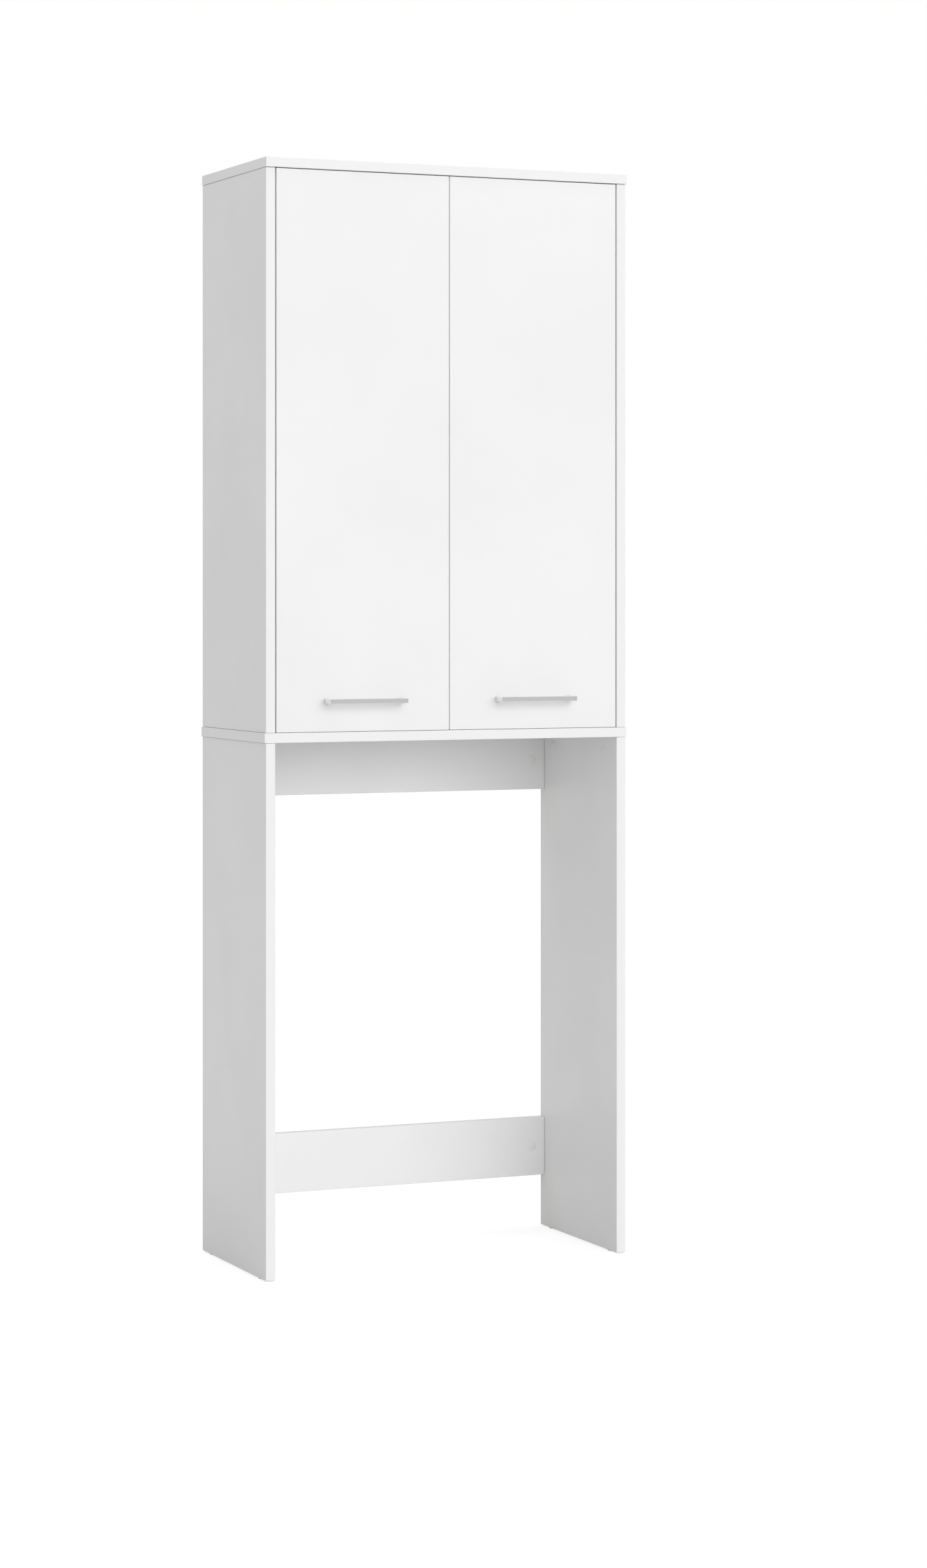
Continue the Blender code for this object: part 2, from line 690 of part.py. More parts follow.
def offset_path(path, distance):
    """A plan path moved sideways by a distance, with mitred corners."""
    moved = []
    for k, point in enumerate(path):
        before = (point - path[k - 1]).to_2d() if k else (path[1] - point).to_2d()
        after = (path[k + 1] - point).to_2d() if k + 1 < len(path) else before
        first, second = before.normalized(), after.normalized()
        normals = Vector((-first.y, first.x)), Vector((-second.y, second.x))
        mitre = (normals[0] + normals[1]) / (1 + normals[0].dot(normals[1]))
        moved.append(point.to_2d() + distance * mitre)
    return moved


def upright(point, low, high, radius, sides=SMALL_SIDES):
    """A cylinder along Z through a plan point."""
    return cylinder((point.x, point.y, low), (point.x, point.y, high), radius, sides)


def hinge_box(sign, across, back, level, half):
    """A box between two distances across, two distances back and a half height about a level."""
    ends = [hinge_point(sign, a, b).to_2d() for a, b in zip(across, back)]
    low = (min(ends[0].x, ends[1].x), min(back) + FRONT_Y, level - half)
    high = (max(ends[0].x, ends[1].x), max(back) + FRONT_Y, level + half)
    return cuboid(low, high)


def hinge_pivots(sign):
    """The four pivots in plan: outer and inner link, each at the cup and at the arm."""
    return {
        "outer_cup": hinge_point(sign, OUTER_CUP_PIVOT_ACROSS, OUTER_CUP_PIVOT_BACK),
        "outer_arm": hinge_point(sign, OUTER_ARM_PIVOT_ACROSS, OUTER_ARM_PIVOT_BACK),
        "inner_cup": hinge_point(sign, INNER_CUP_PIVOT_ACROSS, INNER_CUP_PIVOT_BACK),
        "inner_arm": hinge_point(sign, INNER_ARM_PIVOT_ACROSS, INNER_ARM_PIVOT_BACK),
    }


def cup_wing(sign, level, near, far, depth):
    """The plate that carries the cup's two screws, with its far corners taken off."""
    full, short = CUP_WING_HALF, CUP_WING_HALF - CUP_WING_CHAMFER
    slant = far - CUP_WING_CHAMFER
    outline = [(near, -full), (slant, -full), (far, -short), (far, short), (slant, full), (near, full)]
    bm = bmesh.new()
    front, back = [
        [bm.verts.new(hinge_point(sign, across, y, level + up)) for across, up in outline] for y in depth
    ]
    bm.faces.new(front)
    bm.faces.new(back)
    for k in range(len(outline)):
        following = (k + 1) % len(outline)
        bm.faces.new((front[k], front[following], back[following], back[k]))
    return bm


def hinge_cup(side, sign, place, level, axis, material):
    """A pressed cup with screw wings, and a pocket that the arm and the links dip into."""
    centre_across = CUP_EDGE_DISTANCE + CUP_BORE_RADIUS
    door_back = DOOR_BOARD + SEAT_GAP
    rim = door_back + CUP_FLANGE_THICKNESS
    floor = DOOR_BOARD - CUP_BORE_DEPTH + SEAT_GAP
    centre = hinge_point(sign, centre_across, door_back, level)
    top = hinge_point(sign, centre_across, rim, level)
    near = centre_across + CUP_WING_NEAR
    far = centre_across + CUP_WING_FAR
    flange = cylinder(centre, top, CUP_FLANGE_RADIUS, FINE_SIDES)
    obj = add_object(f"hinge_cup_{side}_{place}", shifted(flange, centre), material, centre, axis, smooth=True)
    combine(obj, cup_wing(sign, level, near, far, (door_back, rim)), "UNION", "wing")
    bowl_top = hinge_point(sign, centre_across, door_back + CUP_FLANGE_THICKNESS / 2, level)
    bowl_foot = hinge_point(sign, centre_across, floor, level)
    combine(obj, cylinder(bowl_foot, bowl_top, CUP_BORE_RADIUS - SEAT_GAP, FINE_SIDES), "UNION", "bowl")
    pocket_floor = floor + CUP_FLOOR
    over = rim + CUT_OVERRUN
    mouth_foot = hinge_point(sign, centre_across, rim - CUP_FLANGE_THICKNESS - CUP_MOUTH_DEPTH, level)
    mouth_top = hinge_point(sign, centre_across, over, level)
    cut(obj, [cylinder(mouth_foot, mouth_top, CUP_MOUTH_RADIUS, FINE_SIDES)], "mouth")
    link_span = (CUP_LINK_POCKET_START, CUP_ARM_POCKET_END)
    arm_span = (CUP_ARM_POCKET_START, CUP_ARM_POCKET_END)
    depth = (pocket_floor, over)
    cut(obj, [hinge_box(sign, link_span, depth, level, CUP_LINK_POCKET_HALF)], "link_pocket")
    cut(obj, [hinge_box(sign, arm_span, depth, level, CUP_ARM_POCKET_HALF)], "arm_pocket")
    notch_span = (CUP_NOTCH_START, CUP_LINK_POCKET_START + CUT_OVERRUN)
    notch_depth = (door_back - CUP_NOTCH_SINK, over)
    cut(obj, [hinge_box(sign, notch_span, notch_depth, level, CUP_LINK_POCKET_HALF)], "notch")
    pivots = hinge_pivots(sign)
    reach = CUP_LINK_POCKET_HALF + LINK_PIN_IN_CUP + SEAT_GAP
    holes = [
        upright(pivots[name], level - reach, level + reach, LINK_PIN_RADIUS + SEAT_GAP)
        for name in ("outer_cup", "inner_cup")
    ]
    for up in (-CUP_SCREW_SPREAD, CUP_SCREW_SPREAD):
        across = centre_across + CUP_SCREW_ACROSS
        start = hinge_point(sign, across, door_back - CUT_OVERRUN, level + up)
        end = hinge_point(sign, across, over, level + up)
        holes.append(cylinder(start, end, CUP_SCREW_HOLE_RADIUS, SMALL_SIDES))
    cut(obj, holes, "holes")


def arm_paths(sign):
    """The arm's web, outside and inside, and the whole outline of a cheek, all in plan."""
    rise = ARM_RISE - DOOR_SIDE_GAP
    foot = ARM_CHEEK_CLEARANCE - DOOR_SIDE_GAP
    outer = [(rise, ARM_TAIL_BACK)]
    for forward_share, across_share in ARM_CRANK_SHARES:
        back = ARM_CRANK_BACK + forward_share * (ARM_CRANK_FRONT - ARM_CRANK_BACK)
        outer.append((rise + across_share * (ARM_WEB_ACROSS - rise), back))
    outer.append((ARM_WEB_ACROSS, ARM_WEB_FRONT))
    nose = [
        (ARM_NOSE_ACROSS, ARM_WEB_FRONT),
        (ARM_NOSE_ACROSS, ARM_NOSE_FRONT + ARM_NOSE_ROUND),
        (ARM_NOSE_ACROSS - ARM_NOSE_ROUND, ARM_NOSE_FRONT),
        (ARM_NOSE_TIP_ACROSS, ARM_NOSE_FRONT),
        (ARM_THROAT_ACROSS, ARM_THROAT_FRONT),
        (ARM_THROAT_ACROSS, ARM_THROAT_BACK),
        (foot, ARM_CHEEK_CRANK_BACK),
        (foot, ARM_TAIL_BACK),
    ]
    web = [hinge_point(sign, across, back).to_2d() for across, back in outer]
    cheek = web + [hinge_point(sign, across, back).to_2d() for across, back in nose]
    return web, cheek


def hinge_arm(side, sign, place, level, material):
    """The arm: a cranked channel from the mounting plate to the pivots in the cup's mouth."""
    web, cheek = arm_paths(sign)
    origin = hinge_point(sign, 0, PLATE_SCREW_BACK, level)
    body = prism(cheek, level - ARM_HALF_WIDTH, level + ARM_HALF_WIDTH)
    obj = add_object(f"hinge_arm_{side}_{place}", shifted(body, origin), material, origin)
    inside = offset_path(web, sign * ARM_STEEL)
    along = Vector((0, CUT_OVERRUN))
    aside = Vector((sign * (ARM_WEB_ACROSS + CUT_OVERRUN), 0))
    room = [inside[0] + along, *inside[1:-1], inside[-1] - Vector((0, ARM_WEB_FRONT))]
    room += [room[-1] + aside, room[0] + aside]
    half = ARM_HALF_WIDTH - ARM_STEEL
    cut(obj, [prism(room, level - half, level + half)], "channel")
    pivots = hinge_pivots(sign)
    reach = ARM_HALF_WIDTH + CUT_OVERRUN
    hole = upright(pivots["outer_arm"], level - reach, level + reach, LINK_PIN_RADIUS + SEAT_GAP)
    cut(obj, [hole], "pin_hole")
    sunk = ARM_HALF_WIDTH - ARM_STEEL / 2
    proud = ARM_HALF_WIDTH + ARM_RIVET_HEIGHT
    point = pivots["inner_arm"]
    heads = [
        upright(point, level + sunk, level + proud, ARM_RIVET_RADIUS),
        upright(point, level - proud, level - sunk, ARM_RIVET_RADIUS),
    ]
    combine(obj, merged(heads), "UNION", "rivets")


def hinge_plate(side, sign, place, level, material):
    """The mounting plate: two wings on the side panel and a block that the arm slides over."""
    face = SEAT_GAP - DOOR_SIDE_GAP
    block_top = ARM_RISE - DOOR_SIDE_GAP - ARM_STEEL - SEAT_GAP
    half_length = PLATE_WING_LENGTH / 2
    wing_span = (PLATE_SCREW_BACK - half_length, PLATE_SCREW_BACK + half_length)
    wing = hinge_box(sign, (face, face + PLATE_STEEL), wing_span, level, PLATE_WING_HALF)
    origin = hinge_point(sign, face, PLATE_SCREW_BACK, level)
    obj = add_object(f"hinge_plate_{side}_{place}", shifted(wing, origin), material, origin)
    block_half = ARM_HALF_WIDTH - ARM_STEEL - SEAT_GAP
    block_span = (PLATE_BLOCK_FRONT, PLATE_BLOCK_BACK)
    combine(obj, hinge_box(sign, (face, block_top), block_span, level, block_half), "UNION", "block")
    holes = []
    for up in (-PLATE_SCREW_SPREAD, PLATE_SCREW_SPREAD):
        start = hinge_point(sign, face - CUT_OVERRUN, PLATE_SCREW_BACK, level + up)
        end = hinge_point(sign, face + PLATE_STEEL + CUT_OVERRUN, PLATE_SCREW_BACK, level + up)
        holes.append(cylinder(start, end, PLATE_SCREW_HOLE_RADIUS, SMALL_SIDES))
    cut(obj, holes)


def hinge_link(name, points, level, parent, material, pins):
    """A bent strip with an eye at each end. Pins lists a plan point and half a pin's length for each of its pins."""
    half = LINK_STEEL / 2
    outline = offset_path(points, half) + list(reversed(offset_path(points, -half)))
    origin = (*parent.location.to_2d(), level)
    strip = prism(outline, level - LINK_HALF_WIDTH, level + LINK_HALF_WIDTH)
    obj = add_object(name, shifted(strip, origin), material, origin, parent)
    for label, point in (("first_eye", points[0]), ("last_eye", points[-1])):
        eye = upright(point, level - LINK_HALF_WIDTH, level + LINK_HALF_WIDTH, LINK_EYE_RADIUS)
        combine(obj, eye, "UNION", label)
    for k, (point, reach) in enumerate(pins):
        combine(obj, upright(point, level - reach, level + reach, LINK_PIN_RADIUS), "UNION", f"pin_{k}")


def hinge_links(side, sign, place, level, axes, material):
    """The outer link, which turns on the arm, and the inner link, which turns on the cup."""
    pivots = hinge_pivots(sign)
    in_cup = CUP_LINK_POCKET_HALF + LINK_PIN_IN_CUP
    outer = [pivots["outer_cup"], hinge_point(sign, OUTER_BEND_ACROSS, OUTER_BEND_BACK), pivots["outer_arm"]]
    pins = [(pivots["outer_cup"], in_cup), (pivots["outer_arm"], ARM_HALF_WIDTH)]
    hinge_link(f"hinge_outer_link_{side}_{place}", outer, level, axes["outer_arm"], material, pins)
    inner = [pivots["inner_cup"], hinge_point(sign, INNER_BEND_ACROSS, INNER_BEND_BACK), pivots["inner_arm"]]
    pins = [(pivots["inner_cup"], in_cup)]
    hinge_link(f"hinge_inner_link_{side}_{place}", inner, level, axes["inner_cup"], material, pins)


def main():
    clear_scene()
    white = make_material("white_melamine", (0.88, 0.88, 0.88), 0.45)
    hardboard = make_material("white_hardboard", (0.80, 0.80, 0.80), 0.6)
    beech = make_material("beech_dowel", (0.55, 0.36, 0.19), 0.7)
    nylon = make_material("white_nylon", (0.75, 0.75, 0.74), 0.5)
    zinc = make_material("zinc_plated_steel", (0.62, 0.62, 0.60), 0.35, 1.0)
    aluminium = make_material("satin_aluminium", (0.84, 0.84, 0.85), 0.3, 1.0)
    top_panel(white)
    deck_panel(white)
    for side, sign in SIDES:
        upper_side(side, sign, white)
        lower_side(side, sign, white)
    back_panel(hardboard)
    rear_rails(white)
    shelves(white)
    shelf_pins(zinc)
    dowels(beech)
    floor_glides(nylon)
    wall_bracket(zinc)
    for side, sign in SIDES:
        axes = {
            name: add_axis(f"axis_{name}_{side}", (point.x, point.y, DOOR_FOOT))
            for name, point in hinge_pivots(sign).items()
        }
        axis = axes["outer_cup"]
        door(side, sign, axis, white)
        handle(side, sign, axis, aluminium)
        handle_screws(side, sign, axis, zinc)
        for place, level in hinge_levels():
            hinge_cup(side, sign, place, level, axis, zinc)
            hinge_arm(side, sign, place, level, zinc)
            hinge_plate(side, sign, place, level, zinc)
            hinge_links(side, sign, place, level, axes, zinc)


main()
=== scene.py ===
"""The looks of a tall white cabinet: board, hinge and handle finishes, small fittings, and a pale studio."""
import math

import bmesh
import bpy
from bpy.props import FloatProperty, FloatVectorProperty, IntProperty, PointerProperty
from mathutils import Matrix, Vector


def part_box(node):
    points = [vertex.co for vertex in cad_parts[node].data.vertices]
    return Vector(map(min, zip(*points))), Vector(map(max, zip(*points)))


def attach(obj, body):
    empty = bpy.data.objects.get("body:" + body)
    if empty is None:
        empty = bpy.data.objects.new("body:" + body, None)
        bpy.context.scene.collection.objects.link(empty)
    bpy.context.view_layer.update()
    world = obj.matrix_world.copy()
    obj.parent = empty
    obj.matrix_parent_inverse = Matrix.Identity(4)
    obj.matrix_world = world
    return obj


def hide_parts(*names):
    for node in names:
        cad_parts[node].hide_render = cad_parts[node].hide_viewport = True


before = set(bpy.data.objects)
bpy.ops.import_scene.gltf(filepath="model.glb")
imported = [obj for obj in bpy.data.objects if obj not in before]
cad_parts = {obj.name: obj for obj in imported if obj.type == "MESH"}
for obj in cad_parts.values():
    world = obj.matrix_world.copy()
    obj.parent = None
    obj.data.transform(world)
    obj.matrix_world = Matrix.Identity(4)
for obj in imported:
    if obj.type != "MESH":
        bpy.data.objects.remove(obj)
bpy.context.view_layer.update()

bl_info = {
    "name": "Tall cabinet finishes",
    "version": (1, 0, 0),
    "blender": (4, 5, 0),
    "location": "View3D > Sidebar > Cabinet",
    "description": "Dresses the boards, hinges, handles and small fittings of a tall white cabinet",
    "category": "Object",
}

SIDES = (("left", -1), ("right", 1))
PLACES = ("lower", "upper")
MM = 0.001
X, Y, Z = 0, 1, 2

# The Mix node's sockets for colours go by number, because its other kinds share their names
FACTOR, FIRST, SECOND, MIXED = 0, 6, 7, 2
# So do the Random Value node's sockets for plain numbers
RANDOM_MAX, RANDOM_VALUE = 3, 1

# Materials that more than one operator uses
ZINC = "Bright zinc plate"
NYLON = "Moulded nylon"
RECESS_SHADE = "Recess shadow"
SCATTER = "Set fittings on points"

# A screw head's profile, as shares of its radius: (radius, height)
HEAD_PROFILE = (
    (0, -0.35), (0.55, -0.35), (0.97, 0.0), (1.0, 0.06), (0.93, 0.16), (0.7, 0.27), (0.35, 0.34), (0, 0.36),
)
HEAD_CROWN = HEAD_PROFILE[-1][1]
HEAD_SIDES = 24
# A cross recess, as shares of the head's radius: half its length, and its depth
HEAD_CROSS = (0.62, 0.34)
HANDLE_SCREW_CROSS = (0.55, 0.3)
# A cross's bar, as shares of half its length: its width, and how far it narrows towards the bottom
BAR_WIDTH = 0.42
BAR_NARROWING = 0.6
# A cover cap's profile: (share of its radius, share of its height)
CAP_PROFILE = (
    (0, 0.02), (1, 0.02), (1, 0.45), (0.97, 0.7), (0.9, 0.78), (0.88, 0.66), (0.85, 0.8), (0.5, 0.95),
    (0, 1),
)
CAP_SIDES = 40
SHARP_ANGLE = math.radians(35)
MERGE_DISTANCE = 0.001 * MM
SEED = 7

# The stage, in metres: the lamps, the point that they aim at, and a floor that reaches far past the view
KEY_PLACE = Vector((1.5, -7.0, 1.7))
TOP_PLACE = Vector((0.0, 0.3, 4.4))
TOP_LENGTH, TOP_WIDTH = 4.0, 3.0
LAMP_AIM = Vector((0.0, 0.0, 1.0))
FLOOR_RADIUS = 40
FLOOR_SIDES = 96
VIEW_END = 100


def linear(hex_colour):
    """An sRGB hex colour as linear red, green, blue and alpha."""
    parts = [int(hex_colour[k:k + 2], 16) / 255 for k in (1, 3, 5)]
    return [c / 12.92 if c <= 0.04045 else ((c + 0.055) / 1.055) ** 2.4 for c in parts] + [1.0]


def colour_property(name, words, hex_colour):
    """A colour that a user may change, given as sRGB hex."""
    return FloatVectorProperty(
        name=name, description=words, subtype="COLOR", size=4, min=0, max=1, default=linear(hex_colour),
    )


def length_property(name, words, metres):
    """A length that a user may change."""
    return FloatProperty(name=name, description=words, unit="LENGTH", min=0, default=metres, precision=5)


def level_property(name, words, level, most=None):
    """A plain level that a user may change."""
    limits = {} if most is None else {"max": most}
    return FloatProperty(name=name, description=words, min=0, default=level, **limits)


class CabinetColours(bpy.types.PropertyGroup):
    board: colour_property("Board", "White melamine face", "#F1F1F1")
    board_shade: colour_property("Board shade", "The slightly duller places of the melamine", "#EDEDED")
    edge_band: colour_property("Edge band", "Plastic band on the boards' visible edges", "#EEEEEE")
    # Painted light: the doors' band is a shade whiter than their faces, to lift the shade in the gaps round
    # them; it keeps the face's roughness, so it is no glossier
    door_band_painted_light: colour_property("Door edge band", "Whiter, glossier band round the doors", "#F8F8F8")
    glue_line: colour_property("Glue line", "Trimmed corner between band and face", "#EAEAE9")
    chip_pale: colour_property("Pale chips", "Pale chips in a raw board edge", "#D3BC97")
    chip_dark: colour_property("Dark chips", "Dark chips in a raw board edge", "#98795A")
    hardboard: colour_property("Hardboard", "Raw back of the back panel", "#8A6848")
    hardboard_print: colour_property("Print", "White print on the back panel's inside", "#ECEBE7")
    aluminium: colour_property("Satin aluminium", "Anodised finish of the handles", "#F6F6F6")
    zinc: colour_property("Zinc", "Plating of hinges, pins and screws", "#D3D5D6")
    # Painted shade: the dark colour in a screw's cross stands in for the shade in that hollow
    recess: colour_property("Recess", "Dark bottom of a screw's cross", "#3A3A39")
    nylon: colour_property("Nylon", "White nylon of glides and covers", "#EEEEEC")
    beech: colour_property("Beech", "Pale wood of the dowels", "#D2AC7C")
    beech_grain: colour_property("Beech grain", "Darker rings of the dowels", "#B98A58")


class CabinetSizes(bpy.types.PropertyGroup):
    cover_radius: length_property("Cover radius", "Radius of a fitting's cover cap", 8.5 * MM)
    cover_height: length_property("Cover height", "How far a cover cap stands proud", 1.1 * MM)
    cover_from_end: length_property("Cover from end", "From a board's end to a cover's middle", 24 * MM)
    cover_from_edge: length_property("Cover from edge", "From a board's edge to a cover's middle", 50 * MM)
    screw_head_radius: length_property("Screw head radius", "Radius of a hinge screw's head", 3.4 * MM)
    plate_screw_spread: length_property("Plate screws", "From a plate's middle to its screws", 16 * MM)
    plate_screw_back: length_property("Plate screw depth", "From a side's front edge to the screws", 53 * MM)
    plate_wing: length_property("Plate wing", "Thickness of a plate's wings", 2 * MM)
    arm_web: length_property("Arm web", "Thickness of an arm's web", 1.5 * MM)
    arm_fixing_back: length_property("Arm fixing screw", "From a side's front edge to this screw", 76 * MM)
    arm_depth_back: length_property("Arm depth screw", "From a side's front edge to this screw", 59 * MM)
    cup_from_edge: length_property("Cup from edge", "From a door's edge to a cup's middle", 22.5 * MM)
    bracket_steel: length_property("Bracket steel", "Thickness of the wall bracket", 2 * MM)
    bracket_screw_back: length_property("Bracket screw", "From the bracket's back to its screw", 13.5 * MM)
    cup_screw_spread: length_property("Cup screw spread", "From a cup's middle to its screws", 22.5 * MM)
    cup_screw_across: length_property("Cup screw offset", "From a cup's middle in to its screws", 9.5 * MM)


class StageSettings(bpy.types.PropertyGroup):
    floor_colour: colour_property("Floor", "Pale studio floor", "#E2E2E2")
    floor_glow: level_property("Floor glow", "Level of the floor's own white", 1.485)
    floor_share: level_property(
        "Glow share", "Share of the floor's look that its own white gives; the rest keeps shadows", 0.5, 1,
    )
    floor_front: level_property(
        "Floor front", "Level of the glow in front of the object, as metal shows it", 0.49,
    )
    lens: FloatProperty(name="Lens", description="Focal length on 36 mm film", default=83.47, unit="CAMERA")
    shift_up: FloatProperty(name="Shift", description="Vertical shift of the lens", default=-0.12426)
    turn: FloatProperty(
        name="Turn", description="Camera heading to the right of straight on", subtype="ANGLE",
        default=math.radians(23.647),
    )
    height: length_property("Camera height", "Height of the camera over the floor", 1.1021)
    aside: length_property("Aside", "From the cabinet's left front corner to the camera, sideways", 2.0304)
    away: length_property("Away", "From the cabinet's left front corner to the camera, forwards", 5.42)
    world_level: level_property("World", "Level of the light from all round", 0.555)
    front_level: level_property("Front", "Level of the studio behind the camera, as metal shows it", 0.58)
    key_level: level_property("Key", "Strength of the distant front light", 2.28)
    key_spread: FloatProperty(
        name="Key spread", description="Apparent size of the front light", subtype="ANGLE",
        default=math.radians(66),
    )
    fill_level: level_property("Fill", "Power of the overhead light", 40)
    seed: IntProperty(name="Seed", description="Seed of the screws' turns", default=SEED)


def feed(tree, fed, inputs):
    """Sets a node's inputs, by name or number, to values or to the outputs that feed them."""
    for key, value in inputs.items():
        if isinstance(value, bpy.types.NodeSocket):
            tree.links.new(value, fed.inputs[key])
        else:
            fed.inputs[key].default_value = value


def node(tree, kind, inputs=None, give=None, **settings):
    """Adds a node with its settings and inputs. Returns it, or the output that give names or numbers."""
    made = tree.nodes.new(kind)
    for name, value in settings.items():
        setattr(made, name, value)
    feed(tree, made, inputs or {})
    return made if give is None else made.outputs[give]


def new_material(name):
    """An empty material with its Principled shader and its tree."""
    material = bpy.data.materials.new(name)
    material.use_nodes = True
    tree = material.node_tree
    return material, tree, tree.nodes["Principled BSDF"]


def per_metre(feature_mm):
    """A noise scale that gives features of that size in millimetres."""
    return 1 / (feature_mm * MM)


def waves_per_metre(spacing_mm):
    """A wave texture's scale that sets its bands so far apart. At a scale of 1 they are 2 pi / 20 apart."""
    return 2 * math.pi / 20 * per_metre(spacing_mm)


def tinted(colour, red, green, blue):
    """A colour with its channels times these shares."""
    return [colour[0] * red, colour[1] * green, colour[2] * blue, 1.0]


def face_masks(tree):
    """Object place, the parts of the face's direction, their sizes, and a mask of the trimmed corners."""
    # The largest part is 1 on a flat face, and under 0.85 on a trimmed corner
    where = node(tree, "ShaderNodeTexCoord").outputs
    parts = node(tree, "ShaderNodeSeparateXYZ", {0: where["Normal"]}).outputs
    sizes = [node(tree, "ShaderNodeMath", {0: part}, 0, operation="ABSOLUTE") for part in parts]
    largest = node(tree, "ShaderNodeMath", {0: sizes[X], 1: sizes[Y]}, 0, operation="MAXIMUM")
    largest = node(tree, "ShaderNodeMath", {0: largest, 1: sizes[Z]}, 0, operation="MAXIMUM")
    corner = node(tree, "ShaderNodeMapRange", {"Value": largest, "From Min": 0.97, "From Max": 0.85}, 0)
    return where["Object"], parts, sizes, corner


def chipboard(tree, place, colours):
    """Raw chipboard: flat chips of 1 to 4 mm pressed in layers, pale and dark. Returns colour and height."""
    # The layers lie level, as in a lying board; in a standing board real ones stand
    chip_mm, splinter_mm, dust_mm = 1.9, 0.9, 0.7
    flatness = (0.42, 0.42, 1.0)
    flat = node(tree, "ShaderNodeMapping", {"Vector": place, "Scale": flatness}, 0)
    chips = node(tree, "ShaderNodeTexVoronoi", {"Vector": flat, "Scale": per_metre(chip_mm)}).outputs
    splinters = node(tree, "ShaderNodeTexVoronoi", {"Vector": flat, "Scale": per_metre(splinter_mm)}).outputs
    chip_tone = node(tree, "ShaderNodeSeparateColor", {0: chips["Color"]}, 0)
    splinter_tone = node(tree, "ShaderNodeSeparateColor", {0: splinters["Color"]}, 0)
    dust = node(
        tree, "ShaderNodeTexNoise", {"Vector": place, "Scale": per_metre(dust_mm), "Detail": 3.0}, "Fac",
    )
    fine = node(tree, "ShaderNodeMath", {0: splinter_tone, 1: 0.6}, 0, operation="MULTIPLY")
    fine = node(tree, "ShaderNodeMath", {0: fine, 1: dust}, 0, operation="ADD")
    tone = node(tree, "ShaderNodeMath", {0: chip_tone, 1: fine}, 0, operation="ADD")
    blend = node(tree, "ShaderNodeMapRange", {"Value": tone, "From Min": 0.45, "From Max": 1.75}, 0)
    colour = node(
        tree, "ShaderNodeMix", {FACTOR: blend, FIRST: colours.chip_dark, SECOND: colours.chip_pale}, MIXED,
        data_type="RGBA",
    )
    return colour, chips["Distance"]


def melamine(name, raw_sides, band_axes, band="edge_band"):
    """Melamine-faced chipboard, pressed on a satin plate: even white, a faint pearl and a soft, broad gloss.

    raw_sides lists (axis, sign) of the edges that show raw chipboard, band_axes the axes whose faces are
    banded, and band the colour of that band.
    """
    # The real pearl is 0.3 mm across; 1.6 mm is as fine as shows here
    cloud_mm, smear_mm, pearl_mm = 260, 70, 1.6
    pearl_share, chip_share = 0.25, 60.0
    glue_strength, raw_roughness = 0.8, 0.45
    colours = bpy.context.scene.cabinet_colours
    material, tree, shader = new_material(name)
    place, parts, sizes, corner = face_masks(tree)
    clouds = node(
        tree, "ShaderNodeTexNoise", {"Vector": place, "Scale": per_metre(cloud_mm), "Detail": 3.0}, "Fac",
    )
    smears = node(
        tree, "ShaderNodeTexNoise",
        {"Vector": place, "Scale": per_metre(smear_mm), "Detail": 4.0, "Roughness": 0.6}, "Fac",
    )
    pearl = node(tree, "ShaderNodeTexNoise", {"Vector": place, "Scale": per_metre(pearl_mm)}, "Fac")
    clouded = node(tree, "ShaderNodeMapRange", {"Value": clouds, "From Min": 0.35, "From Max": 0.65}, 0)
    face = node(
        tree, "ShaderNodeMix", {FACTOR: clouded, FIRST: colours.board, SECOND: colours.board_shade}, MIXED,
        data_type="RGBA",
    )
    roughness = node(
        tree, "ShaderNodeMapRange",
        {"Value": smears, "From Min": 0.3, "From Max": 0.7, "To Min": 0.33, "To Max": 0.43}, 0,
    )
    banded = 0.0
    for axis in band_axes:
        facing = node(
            tree, "ShaderNodeMapRange", {"Value": sizes[axis], "From Min": 0.97, "From Max": 0.99}, 0,
        )
        banded = node(tree, "ShaderNodeMath", {0: banded, 1: facing}, 0, operation="MAXIMUM")
    face = node(
        tree, "ShaderNodeMix", {FACTOR: banded, FIRST: face, SECOND: getattr(colours, band)}, MIXED,
        data_type="RGBA",
    )
    trimmed = node(tree, "ShaderNodeMath", {0: corner, 1: glue_strength}, 0, operation="MULTIPLY")
    face = node(
        tree, "ShaderNodeMix", {FACTOR: trimmed, FIRST: face, SECOND: colours.glue_line}, MIXED,
        data_type="RGBA",
    )
    height = node(tree, "ShaderNodeMath", {0: pearl, 1: pearl_share}, 0, operation="MULTIPLY")
    if raw_sides:
        chip_colour, chip_height = chipboard(tree, place, colours)
        raw = 0.0
        for axis, sign in raw_sides:
            facing = node(tree, "ShaderNodeMath", {0: parts[axis], 1: sign}, 0, operation="MULTIPLY")
            facing = node(
                tree, "ShaderNodeMapRange", {"Value": facing, "From Min": 0.9, "From Max": 0.98}, 0,
            )
            raw = node(tree, "ShaderNodeMath", {0: raw, 1: facing}, 0, operation="MAXIMUM")
        face = node(
            tree, "ShaderNodeMix", {FACTOR: raw, FIRST: face, SECOND: chip_colour}, MIXED, data_type="RGBA",
        )
        duller = node(tree, "ShaderNodeMath", {0: raw, 1: raw_roughness}, 0, operation="MULTIPLY")
        roughness = node(tree, "ShaderNodeMath", {0: roughness, 1: duller}, 0, operation="ADD")
        chips = node(tree, "ShaderNodeMath", {0: chip_height, 1: raw}, 0, operation="MULTIPLY")
        chips = node(tree, "ShaderNodeMath", {0: chips, 1: chip_share}, 0, operation="MULTIPLY")
        height = node(tree, "ShaderNodeMath", {0: height, 1: chips}, 0, operation="ADD")
    bump = node(tree, "ShaderNodeBump", {"Height": height, "Strength": 0.12, "Distance": 0.05 * MM}, 0)
    feed(tree, shader, {"Base Color": face, "Roughness": roughness, "Normal": bump, "IOR": 1.5})
    return material


